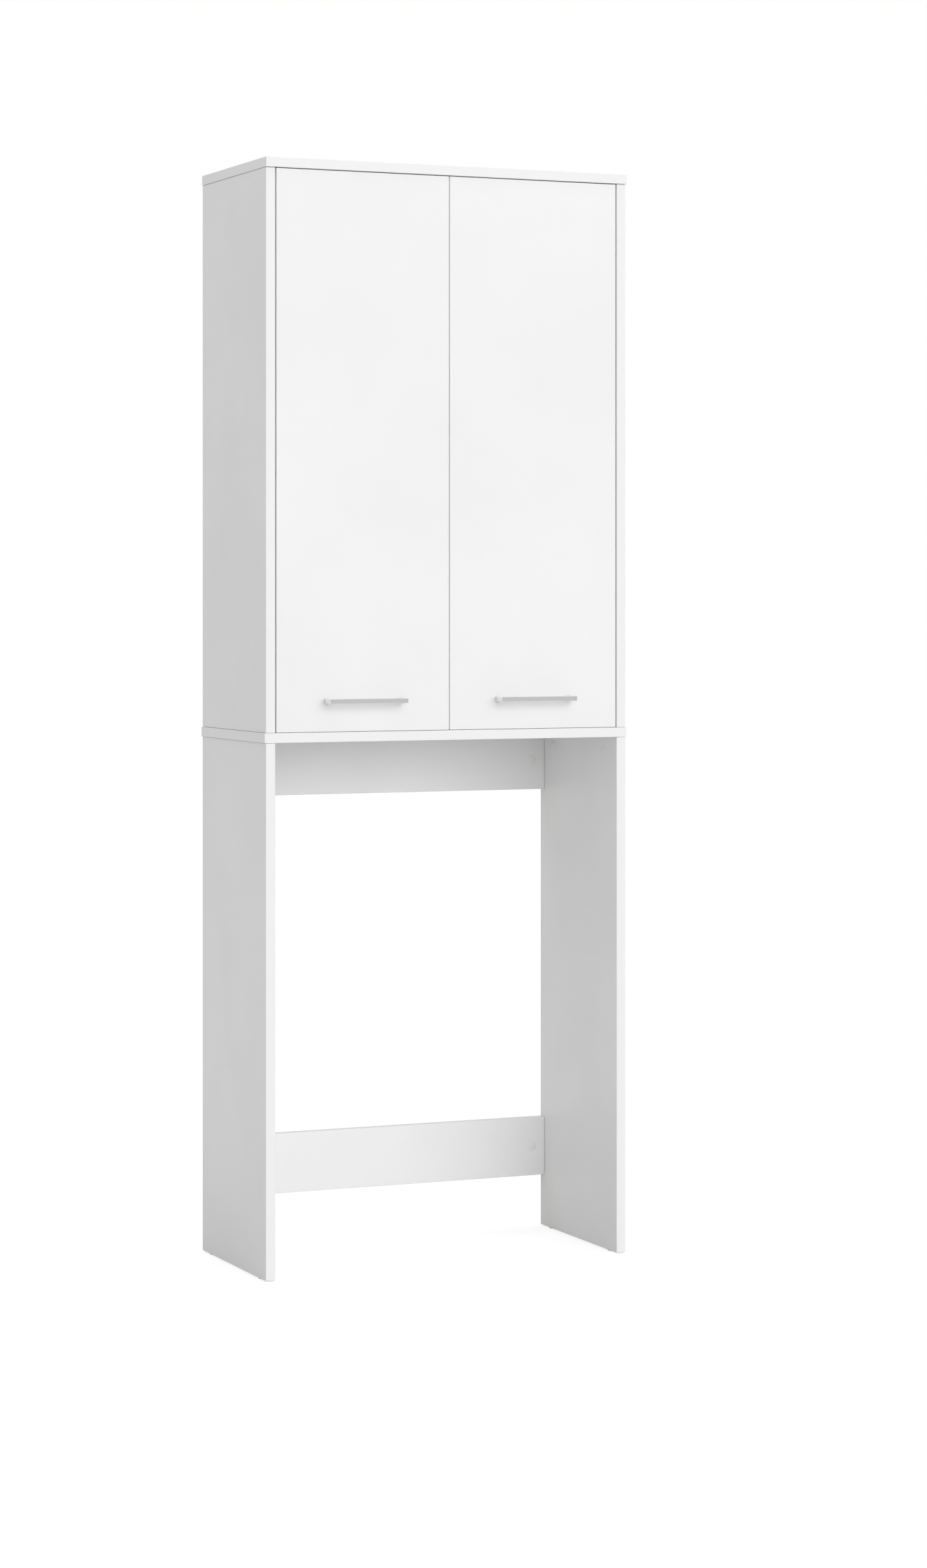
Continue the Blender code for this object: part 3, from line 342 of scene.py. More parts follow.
def hardboard():
    """Thin hardboard: white print inside, and outside the raw brown board with the press screen's weave."""
    # The real screen's weave is 1.2 mm apart; it is drawn 18.85 mm apart, much coarser
    fleck_mm, cloud_mm, print_mm, weave_mm = 3, 120, 180, 18.85
    fibre_length = (1.0, 1.0, 0.6)
    colours = bpy.context.scene.cabinet_colours
    material, tree, shader = new_material("Printed hardboard")
    where = node(tree, "ShaderNodeTexCoord").outputs
    place = where["Object"]
    facing = node(tree, "ShaderNodeSeparateXYZ", {0: where["Normal"]}, "Y")
    outside = node(tree, "ShaderNodeMapRange", {"Value": facing, "From Min": 0.2, "From Max": 0.8}, 0)
    fibres = node(tree, "ShaderNodeMapping", {"Vector": place, "Scale": fibre_length}, 0)
    flecks = node(
        tree, "ShaderNodeTexNoise",
        {"Vector": fibres, "Scale": per_metre(fleck_mm), "Detail": 4.0, "Roughness": 0.7}, "Fac",
    )
    clouds = node(
        tree, "ShaderNodeTexNoise", {"Vector": place, "Scale": per_metre(cloud_mm), "Detail": 3.0}, "Fac",
    )
    smudges = node(tree, "ShaderNodeTexNoise", {"Vector": place, "Scale": per_metre(print_mm)}, "Fac")
    flecked = node(
        tree, "ShaderNodeMapRange", {"Value": flecks, "From Min": 0.25, "From Max": 0.75, "To Max": 0.22}, 0,
    )
    clouded = node(
        tree, "ShaderNodeMapRange", {"Value": clouds, "From Min": 0.35, "From Max": 0.65, "To Max": 0.18}, 0,
    )
    smudged = node(tree, "ShaderNodeMapRange", {"Value": smudges, "From Min": 0.35, "From Max": 0.65}, 0)
    brown = node(
        tree, "ShaderNodeMix", {FACTOR: flecked, FIRST: colours.hardboard, SECOND: colours.chip_pale}, MIXED,
        data_type="RGBA",
    )
    brown = node(
        tree, "ShaderNodeMix", {FACTOR: clouded, FIRST: brown, SECOND: colours.chip_dark}, MIXED,
        data_type="RGBA",
    )
    paper = node(
        tree, "ShaderNodeMix", {FACTOR: smudged, FIRST: colours.hardboard_print, SECOND: colours.board},
        MIXED, data_type="RGBA",
    )
    colour = node(
        tree, "ShaderNodeMix", {FACTOR: outside, FIRST: paper, SECOND: brown}, MIXED, data_type="RGBA",
    )
    roughness = node(tree, "ShaderNodeMapRange", {"Value": outside, "To Min": 0.5, "To Max": 0.82}, 0)
    threads = [
        node(
            tree, "ShaderNodeTexWave",
            {"Vector": place, "Scale": waves_per_metre(weave_mm), "Distortion": 0.4}, "Fac",
            wave_type="BANDS", bands_direction=direction,
        )
        for direction in ("X", "Z")
    ]
    screen = node(tree, "ShaderNodeMath", {0: threads[0], 1: threads[1]}, 0, operation="MULTIPLY")
    screen = node(tree, "ShaderNodeMath", {0: screen, 1: outside}, 0, operation="MULTIPLY")
    bump = node(tree, "ShaderNodeBump", {"Height": screen, "Strength": 0.5, "Distance": 0.2 * MM}, 0)
    feed(tree, shader, {"Base Color": colour, "Roughness": roughness, "Normal": bump})
    return material


def satin_aluminium():
    """Brushed and anodised aluminium: a soft pale grey with fine streaks along the bar."""
    # Real brushing is 0.05 mm; streaks of 0.5 mm are as fine as shows here
    streak_mm, patch_mm = 0.5, 25
    streak_length = (0.02, 1.0, 1.0)
    colours = bpy.context.scene.cabinet_colours
    material, tree, shader = new_material("Satin anodised aluminium")
    place = node(tree, "ShaderNodeTexCoord", give="Object")
    stretched = node(tree, "ShaderNodeMapping", {"Vector": place, "Scale": streak_length}, 0)
    streaks = node(
        tree, "ShaderNodeTexNoise",
        {"Vector": stretched, "Scale": per_metre(streak_mm), "Detail": 3.0, "Roughness": 0.6}, "Fac",
    )
    patches = node(tree, "ShaderNodeTexNoise", {"Vector": place, "Scale": per_metre(patch_mm)}, "Fac")
    darker = tinted(colours.aluminium, 0.94, 0.94, 0.94)
    brushed = node(tree, "ShaderNodeMapRange", {"Value": streaks, "From Min": 0.3, "From Max": 0.7}, 0)
    tone = node(
        tree, "ShaderNodeMix", {FACTOR: brushed, FIRST: darker, SECOND: colours.aluminium}, MIXED,
        data_type="RGBA",
    )
    streaked = node(
        tree, "ShaderNodeMapRange",
        {"Value": streaks, "From Min": 0.3, "From Max": 0.7, "To Min": 0.27, "To Max": 0.34}, 0,
    )
    patched = node(
        tree, "ShaderNodeMapRange",
        {"Value": patches, "From Min": 0.3, "From Max": 0.7, "To Min": -0.02, "To Max": 0.03}, 0,
    )
    roughness = node(tree, "ShaderNodeMath", {0: streaked, 1: patched}, 0, operation="ADD")
    bump = node(tree, "ShaderNodeBump", {"Height": streaks, "Strength": 0.03, "Distance": 0.03 * MM}, 0)
    feed(tree, shader, {"Base Color": tone, "Roughness": roughness, "Normal": bump, "Metallic": 1.0})
    return material


def zinc_plate():
    """Bright zinc plate on stamped steel: cool grey with a faint cloudy passivation and soft scuffs."""
    cloud_mm, scuff_mm = 9, 1.2
    colours = bpy.context.scene.cabinet_colours
    material, tree, shader = new_material(ZINC)
    place = node(tree, "ShaderNodeTexCoord", give="Object")
    clouds = node(
        tree, "ShaderNodeTexNoise", {"Vector": place, "Scale": per_metre(cloud_mm), "Detail": 3.0}, "Fac",
    )
    scuffs = node(
        tree, "ShaderNodeTexNoise",
        {"Vector": place, "Scale": per_metre(scuff_mm), "Detail": 4.0, "Roughness": 0.7}, "Fac",
    )
    warm = tinted(colours.zinc, 0.97, 0.95, 0.88)
    clouded = node(tree, "ShaderNodeMapRange", {"Value": clouds, "From Min": 0.35, "From Max": 0.65}, 0)
    tone = node(
        tree, "ShaderNodeMix", {FACTOR: clouded, FIRST: colours.zinc, SECOND: warm}, MIXED, data_type="RGBA",
    )
    roughness = node(
        tree, "ShaderNodeMapRange",
        {"Value": scuffs, "From Min": 0.3, "From Max": 0.75, "To Min": 0.24, "To Max": 0.42}, 0,
    )
    bump = node(tree, "ShaderNodeBump", {"Height": scuffs, "Strength": 0.05, "Distance": 0.05 * MM}, 0)
    feed(tree, shader, {"Base Color": tone, "Roughness": roughness, "Normal": bump, "Metallic": 1.0})
    return material


def moulded_nylon():
    """Injection-moulded white nylon: slightly waxy, with a fine spark-eroded grain."""
    grain_mm, worn_mm, glow_mm = 0.8, 12, 1
    colours = bpy.context.scene.cabinet_colours
    material, tree, shader = new_material(NYLON)
    place = node(tree, "ShaderNodeTexCoord", give="Object")
    grain = node(
        tree, "ShaderNodeTexNoise", {"Vector": place, "Scale": per_metre(grain_mm), "Detail": 3.0}, "Fac",
    )
    worn = node(
        tree, "ShaderNodeTexNoise", {"Vector": place, "Scale": per_metre(worn_mm), "Detail": 3.0}, "Fac",
    )
    duller = tinted(colours.nylon, 0.93, 0.92, 0.88)
    worn = node(tree, "ShaderNodeMapRange", {"Value": worn, "From Min": 0.4, "From Max": 0.7}, 0)
    tone = node(
        tree, "ShaderNodeMix", {FACTOR: worn, FIRST: colours.nylon, SECOND: duller}, MIXED, data_type="RGBA",
    )
    roughness = node(
        tree, "ShaderNodeMapRange",
        {"Value": grain, "From Min": 0.3, "From Max": 0.7, "To Min": 0.42, "To Max": 0.55}, 0,
    )
    bump = node(tree, "ShaderNodeBump", {"Height": grain, "Strength": 0.1, "Distance": 0.05 * MM}, 0)
    feed(tree, shader, {"Base Color": tone, "Roughness": roughness, "Normal": bump})
    feed(tree, shader, {"Subsurface Weight": 0.05, "Subsurface Radius": [glow_mm * MM] * 3})
    return material


def turned_beech():
    """Turned beech: pale, with growth rings that run along the dowel, and short dark flecks."""
    # Real rings are 1 to 3 mm apart; they are drawn 9.425 mm apart, coarser
    ring_mm, fleck_mm = 9.425, 0.5
    grain_length = (1.0, 1.0, 0.08)
    colours = bpy.context.scene.cabinet_colours
    material, tree, shader = new_material("Turned beech")
    place = node(tree, "ShaderNodeTexCoord", give="Object")
    along = node(tree, "ShaderNodeMapping", {"Vector": place, "Scale": grain_length}, 0)
    rings = node(
        tree, "ShaderNodeTexWave",
        {"Vector": along, "Scale": waves_per_metre(ring_mm), "Distortion": 2.5, "Detail": 2.0}, "Fac",
        wave_type="RINGS", rings_direction="Z",
    )
    flecks = node(
        tree, "ShaderNodeTexNoise", {"Vector": along, "Scale": per_metre(fleck_mm), "Detail": 4.0}, "Fac",
    )
    ringed = node(
        tree, "ShaderNodeMapRange", {"Value": rings, "From Min": 0.2, "From Max": 0.9, "To Max": 0.7}, 0,
    )
    flecked = node(
        tree, "ShaderNodeMapRange", {"Value": flecks, "From Min": 0.62, "From Max": 0.75, "To Max": 0.5}, 0,
    )
    tone = node(
        tree, "ShaderNodeMix", {FACTOR: ringed, FIRST: colours.beech, SECOND: colours.beech_grain}, MIXED,
        data_type="RGBA",
    )
    tone = node(
        tree, "ShaderNodeMix", {FACTOR: flecked, FIRST: tone, SECOND: colours.chip_dark}, MIXED,
        data_type="RGBA",
    )
    feed(tree, shader, {"Base Color": tone, "Roughness": 0.62})
    return material


def painted_recess_shade():
    """Painted shade on the walls and bottom of a screw's cross: a dark colour for the unlit hollow, with a
    little dust.
    """
    known = bpy.data.materials.get(RECESS_SHADE)
    if known:
        return known
    dust_mm = 0.6
    colours = bpy.context.scene.cabinet_colours
    material, tree, shader = new_material(RECESS_SHADE)
    place = node(tree, "ShaderNodeTexCoord", give="Object")
    dust = node(
        tree, "ShaderNodeTexNoise", {"Vector": place, "Scale": per_metre(dust_mm), "Detail": 3.0}, "Fac",
    )
    paler = tinted(colours.recess, 1.6, 1.6, 1.6)
    dusty = node(tree, "ShaderNodeMapRange", {"Value": dust, "From Min": 0.4, "From Max": 0.7}, 0)
    tone = node(
        tree, "ShaderNodeMix", {FACTOR: dusty, FIRST: colours.recess, SECOND: paler}, MIXED,
        data_type="RGBA",
    )
    feed(tree, shader, {"Base Color": tone, "Roughness": 0.85})
    return material


def dress(names, material):
    """Gives CAD nodes a material."""
    for name in names:
        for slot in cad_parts[name].material_slots:
            slot.material = material


def named(start):
    """The CAD nodes whose name starts so."""
    return sorted(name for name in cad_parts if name.startswith(start))


def turned(profile, sides):
    """A closed solid of revolution about Z. The profile lists (radius, height), from axis to axis."""
    bm = bmesh.new()
    rings = []
    for radius, height in profile:
        if radius == 0:
            rings.append([bm.verts.new((0, 0, height))])
            continue
        angles = [2 * math.pi * k / sides for k in range(sides)]
        rings.append([bm.verts.new((radius * math.cos(a), radius * math.sin(a), height)) for a in angles])
    for ring, following in zip(rings, rings[1:]):
        for k in range(sides):
            near = (k + 1) % sides
            corners = [ring[k % len(ring)], ring[near % len(ring)], following[near % len(following)]]
            if len(following) > 1:
                corners.append(following[k % len(following)])
            unique = list(dict.fromkeys(corners))
            if len(unique) > 2:
                bm.faces.new(unique)
    bmesh.ops.recalc_face_normals(bm, faces=bm.faces)
    return bm


def mesh_object(name, bm, materials):
    """A bmesh as an object in the scene, smooth with sharp corners kept."""
    mesh = bpy.data.meshes.new(name)
    bm.to_mesh(mesh)
    bm.free()
    mesh.shade_smooth()
    mesh.set_sharp_from_angle(angle=SHARP_ANGLE)
    for material in materials:
        mesh.materials.append(material)
    obj = bpy.data.objects.new(name, mesh)
    bpy.context.scene.collection.objects.link(obj)
    return obj


def screw_head(radius, material, recess):
    """A countersunk oval head with a cross recess cut into it."""
    bm = turned([(across * radius, up * radius) for across, up in HEAD_PROFILE], HEAD_SIDES)
    # The head's second material is the painted shade of its cross
    head = mesh_object("screw_head", bm, (material, recess))
    half, depth = HEAD_CROSS
    recess_cross(head, Matrix.Translation((0, 0, HEAD_CROWN * radius)), half * radius, depth * radius)
    return head


def recess_cross(piece, place, half, depth):
    """Cuts a cross recess into a piece. The place's Z points out of it, and the cross narrows inwards."""
    bm = bmesh.new()
    size = Matrix.Diagonal((2 * half, BAR_WIDTH * half, 2 * depth, 1))
    for turn in (0, math.pi / 2):
        bar = bmesh.ops.create_cube(bm, size=1, matrix=size)
        for vert in bar["verts"]:
            if vert.co.z < 0:
                vert.co.x *= BAR_NARROWING
            vert.co = place @ Matrix.Rotation(turn, 4, "Z") @ vert.co
    # The cut faces take the piece's second material, the painted shade of the recess
    for face in bm.faces:
        face.material_index = 1
    cutter = mesh_object("cross_cutter", bm, piece.data.materials)
    modifier = piece.modifiers.new("cross", "BOOLEAN")
    modifier.operation = "DIFFERENCE"
    modifier.solver = "EXACT"
    modifier.use_self = True
    modifier.object = cutter
    bpy.context.view_layer.update()
    mesh = bpy.data.meshes.new_from_object(piece.evaluated_get(bpy.context.evaluated_depsgraph_get()))
    piece.modifiers.clear()
    piece.data = mesh
    bpy.data.objects.remove(cutter)
    sunk = mesh.attributes.new("recess", "BOOLEAN", "FACE")
    sunk.data.foreach_set("value", [polygon.material_index == 1 for polygon in mesh.polygons])
    if not any(value.value for value in sunk.data):
        raise RuntimeError(f"{piece.name}: the cross recess wasn't cut")


def cover_cap(radius, height, material):
    """A push-in cover cap: a low dome with a thin rim line round it."""
    bm = turned([(across * radius, up * height) for across, up in CAP_PROFILE], CAP_SIDES)
    return mesh_object("cover_cap", bm, (material,))


def scatter_tree():
    """Geometry nodes that set a piece on each point, along the point's aim, turned at random about it."""
    tree = bpy.data.node_groups.new(SCATTER, "GeometryNodeTree")
    face = tree.interface
    face.new_socket("Geometry", in_out="INPUT", socket_type="NodeSocketGeometry")
    face.new_socket("Piece", in_out="INPUT", socket_type="NodeSocketObject")
    face.new_socket("Finish", in_out="INPUT", socket_type="NodeSocketMaterial")
    face.new_socket("Recess", in_out="INPUT", socket_type="NodeSocketMaterial")
    face.new_socket("Size", in_out="INPUT", socket_type="NodeSocketFloat").default_value = 1.0
    face.new_socket("Turn", in_out="INPUT", socket_type="NodeSocketFloat")
    face.new_socket("Seed", in_out="INPUT", socket_type="NodeSocketInt").default_value = SEED
    face.new_socket("Geometry", in_out="OUTPUT", socket_type="NodeSocketGeometry")
    given = node(tree, "NodeGroupInput").outputs
    piece = node(tree, "GeometryNodeObjectInfo", {"Object": given["Piece"]}, "Geometry")
    aim = node(
        tree, "GeometryNodeInputNamedAttribute", {"Name": "aim"}, "Attribute", data_type="FLOAT_VECTOR",
    )
    aligned = node(tree, "FunctionNodeAlignRotationToVector", {"Vector": aim}, 0, axis="Z")
    turn = node(
        tree, "FunctionNodeRandomValue", {RANDOM_MAX: given["Turn"], "Seed": given["Seed"]}, RANDOM_VALUE,
        data_type="FLOAT",
    )
    about = node(tree, "FunctionNodeAxisAngleToRotation", {"Axis": (0, 0, 1), "Angle": turn}, 0)
    rotated = node(
        tree, "FunctionNodeRotateRotation", {"Rotation": aligned, "Rotate By": about}, 0,
        rotation_space="LOCAL",
    )
    placed = node(
        tree, "GeometryNodeInstanceOnPoints",
        {"Points": given["Geometry"], "Instance": piece, "Rotation": rotated, "Scale": given["Size"]}, 0,
    )
    real = node(tree, "GeometryNodeRealizeInstances", {0: placed}, 0)
    finished = node(tree, "GeometryNodeSetMaterial", {"Geometry": real, "Material": given["Finish"]}, 0)
    # The faces of the cut cross take the painted shade of the recess
    sunk = node(
        tree, "GeometryNodeInputNamedAttribute", {"Name": "recess"}, "Attribute", data_type="BOOLEAN",
    )
    darkened = node(
        tree, "GeometryNodeSetMaterial",
        {"Geometry": finished, "Selection": sunk, "Material": given["Recess"]}, 0,
    )
    node(tree, "NodeGroupOutput", {0: darkened})
    return tree


def scatter(name, piece, spots, body, turn=0.0):
    """Sets copies of a piece on spots, each (point, aim), as one plain mesh that rides on a body.

    The piece's first material is the finish, and its last one, a painted shade, fills the faces that its
    "recess" attribute marks. turn is the most that a copy is turned about its aim.
    """
    tree = bpy.data.node_groups.get(SCATTER) or scatter_tree()
    mesh = bpy.data.meshes.new(f"{name}_points")
    mesh.from_pydata([point for point, _ in spots], [], [])
    aims = mesh.attributes.new("aim", "FLOAT_VECTOR", "POINT")
    aims.data.foreach_set("vector", [part for _, aim in spots for part in aim])
    points = bpy.data.objects.new(f"{name}_points", mesh)
    bpy.context.scene.collection.objects.link(points)
    modifier = points.modifiers.new("fittings", "NODES")
    modifier.node_group = tree
    sockets = {item.name: item.identifier for item in tree.interface.items_tree if item.in_out == "INPUT"}
    values = {
        "Piece": piece, "Finish": piece.data.materials[0], "Recess": piece.data.materials[-1], "Size": 1.0,
        "Turn": turn, "Seed": bpy.context.scene.cabinet_stage.seed,
    }
    for key, value in values.items():
        modifier[sockets[key]] = value
    bpy.context.view_layer.update()
    made = bpy.data.meshes.new_from_object(points.evaluated_get(bpy.context.evaluated_depsgraph_get()))
    made.name = name
    bpy.data.objects.remove(points)
    if not made.polygons:
        raise RuntimeError(f"{name}: the fittings made no faces")
    obj = bpy.data.objects.new(name, made)
    bpy.context.scene.collection.objects.link(obj)
    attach(obj, body)
    return obj


class CABINET_OT_boards(bpy.types.Operator):
    """Finish every board: sides, top, deck, shelves, rails and back panel"""
    bl_idname = "cabinet.boards"
    bl_label = "Finish the boards"

    def execute(self, context):
        carcass = melamine("Melamine board, raw back edge", [(Y, 1)], [Y])
        standing = melamine("Melamine board, raw back and foot", [(Y, 1), (Z, -1)], [Y])
        rail = melamine("Melamine rail, raw foot", [(Z, -1)], [Z])
        dress(["top_panel", "deck_panel", *named("upper_side")], carcass)
        dress([*named("shelf_lower"), *named("shelf_upper")], carcass)
        dress(named("lower_side"), standing)
        dress(named("rear_rail"), rail)
        dress(["back_panel"], hardboard())
        return {"FINISHED"}


class CABINET_OT_doors(bpy.types.Operator):
    """Finish both doors, banded all round"""
    bl_idname = "cabinet.doors"
    bl_label = "Finish the doors"

    def execute(self, context):
        # The doors' whiter band is painted light that lifts the shade in their gaps
        dress(named("door_"), melamine("Melamine door, banded all round", [], [X, Z], "door_band_painted_light"))
        return {"FINISHED"}


class CABINET_OT_handles(bpy.types.Operator):
    """Finish the two bow handles and their screws"""
    bl_idname = "cabinet.handles"
    bl_label = "Finish the handles"

    def execute(self, context):
        dress(["handle_left", "handle_right"], satin_aluminium())
        dress(named("handle_screw"), bpy.data.materials[ZINC])
        for name in named("handle_screw"):
            self.recessed_screw(name)
        return {"FINISHED"}

    def recessed_screw(self, name):
        """The same screw with a cross recess in its head, inside the door. Its name turns the cross."""
        low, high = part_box(name)
        bm = bmesh.new()
        bm.from_mesh(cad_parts[name].data)
        bmesh.ops.remove_doubles(bm, verts=bm.verts, dist=MERGE_DISTANCE)
        screw = mesh_object(f"{name}_recessed", bm, (bpy.data.materials[ZINC], painted_recess_shade()))
        for polygon in screw.data.polygons:
            polygon.material_index = 0
        outwards = Matrix.Rotation(-math.pi / 2, 4, "X")
        twist = Matrix.Rotation(sum(map(ord, name)) % 7, 4, "Z")
        centre = Matrix.Translation(((low.x + high.x) / 2, high.y, (low.z + high.z) / 2))
        radius = (high.x - low.x) / 2
        half, depth = HANDLE_SCREW_CROSS
        recess_cross(screw, centre @ outwards @ twist, half * radius, depth * radius)
        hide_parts(name)
        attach(screw, "left_door" if "left" in name else "right_door")


class CABINET_OT_ironmongery(bpy.types.Operator):
    """Finish hinges, shelf pins, wall bracket, dowels and glides"""
    bl_idname = "cabinet.ironmongery"
    bl_label = "Finish the ironmongery"

    def execute(self, context):
        dress([*named("hinge_"), *named("shelf_pin"), "wall_bracket"], zinc_plate())
        dress(named("dowel"), turned_beech())
        dress(named("floor_glide"), moulded_nylon())
        return {"FINISHED"}


class CABINET_OT_hinge_screws(bpy.types.Operator):
    """Set the screws of every hinge cup, mounting plate and arm"""
    bl_idname = "cabinet.hinge_screws"
    bl_label = "Set the hinge screws"

    def execute(self, context):
        sizes = context.scene.cabinet_sizes
        head = screw_head(sizes.screw_head_radius, bpy.data.materials[ZINC], painted_recess_shade())
        on_carcass = []
        for side, sign in SIDES:
            on_door = []
            for place in PLACES:
                on_carcass += self.plate_spots(side, sign, place, sizes)
                on_door += self.cup_spots(side, sign, place, sizes)
            scatter(f"cup_screws_{side}", head, on_door, f"{side}_door", math.pi)
        scatter("plate_screws", head, on_carcass, "carcass", math.pi)
        bpy.data.objects.remove(head)
        return {"FINISHED"}

    def plate_spots(self, side, sign, place, sizes):
        """Two screws in a plate's wings, and two in the arm: one fixes it and one sets its depth."""
        low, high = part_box(f"hinge_plate_{side}_{place}")
        inward = Vector((-sign, 0, 0))
        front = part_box(f"upper_side_{side}")[0].y
        z = (low.z + high.z) / 2
        inner = high.x if sign < 0 else low.x
        wing = inner + sign * (high.x - low.x - sizes.plate_wing)
        web = inner - sign * sizes.arm_web
        in_wings = front + sizes.plate_screw_back
        ups = (-sizes.plate_screw_spread, sizes.plate_screw_spread)
        backs = (sizes.arm_depth_back, sizes.arm_fixing_back)
        spots = [(Vector((wing, in_wings, z + up)), inward) for up in ups]
        return spots + [(Vector((web, front + back, z)), inward) for back in backs]

    def cup_spots(self, side, sign, place, sizes):
        """Two screws in a cup's wings."""
        low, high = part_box(f"hinge_cup_{side}_{place}")
        z = (low.z + high.z) / 2
        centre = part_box(f"door_{side}")[0 if sign < 0 else 1].x - sign * sizes.cup_from_edge
        x = centre - sign * sizes.cup_screw_across
        ups = (-sizes.cup_screw_spread, sizes.cup_screw_spread)
        return [(Vector((x, high.y, z + up)), Vector((0, 1, 0))) for up in ups]


class CABINET_OT_bracket_screw(bpy.types.Operator):
    """Set the screw that holds the wall bracket under the top; its other hole is for the wall's own screw"""
    bl_idname = "cabinet.bracket_screw"
    bl_label = "Set the bracket screw"

    def execute(self, context):
        sizes = context.scene.cabinet_sizes
        low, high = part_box("wall_bracket")
        middle = (low.x + high.x) / 2
        spot = Vector((middle, high.y - sizes.bracket_screw_back, high.z - sizes.bracket_steel))
        head = screw_head(sizes.screw_head_radius, bpy.data.materials[ZINC], painted_recess_shade())
        scatter("bracket_screw", head, [(spot, Vector((0, 0, -1)))], "carcass", math.pi)
        bpy.data.objects.remove(head)
        return {"FINISHED"}


class CABINET_OT_covers(bpy.types.Operator):
    """Set the cover caps of the board fittings"""
    bl_idname = "cabinet.covers"
    bl_label = "Set the cover caps"

    def execute(self, context):
        sizes = context.scene.cabinet_sizes
        cap = cover_cap(sizes.cover_radius, sizes.cover_height, bpy.data.materials[NYLON])
        spots = []
        for side, sign in SIDES:
            inward = Vector((-sign, 0, 0))
            for name, ends in ((f"upper_side_{side}", (0, 1)), (f"lower_side_{side}", (1,))):
                low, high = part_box(name)
                x = high.x if sign < 0 else low.x
                for end in ends:
                    z = high.z - sizes.cover_from_end if end else low.z + sizes.cover_from_end
                    for y in (low.y + sizes.cover_from_edge, high.y - sizes.cover_from_edge):
                        spots.append((Vector((x, y, z)), inward))
            for place in PLACES:
                low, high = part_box(f"rear_rail_{place}")
                x = low.x + sizes.cover_from_end if sign < 0 else high.x - sizes.cover_from_end
                spots.append((Vector((x, low.y, (low.z + high.z) / 2)), Vector((0, -1, 0))))
        scatter("fitting_covers", cap, spots, "carcass")
        bpy.data.objects.remove(cap)
        return {"FINISHED"}


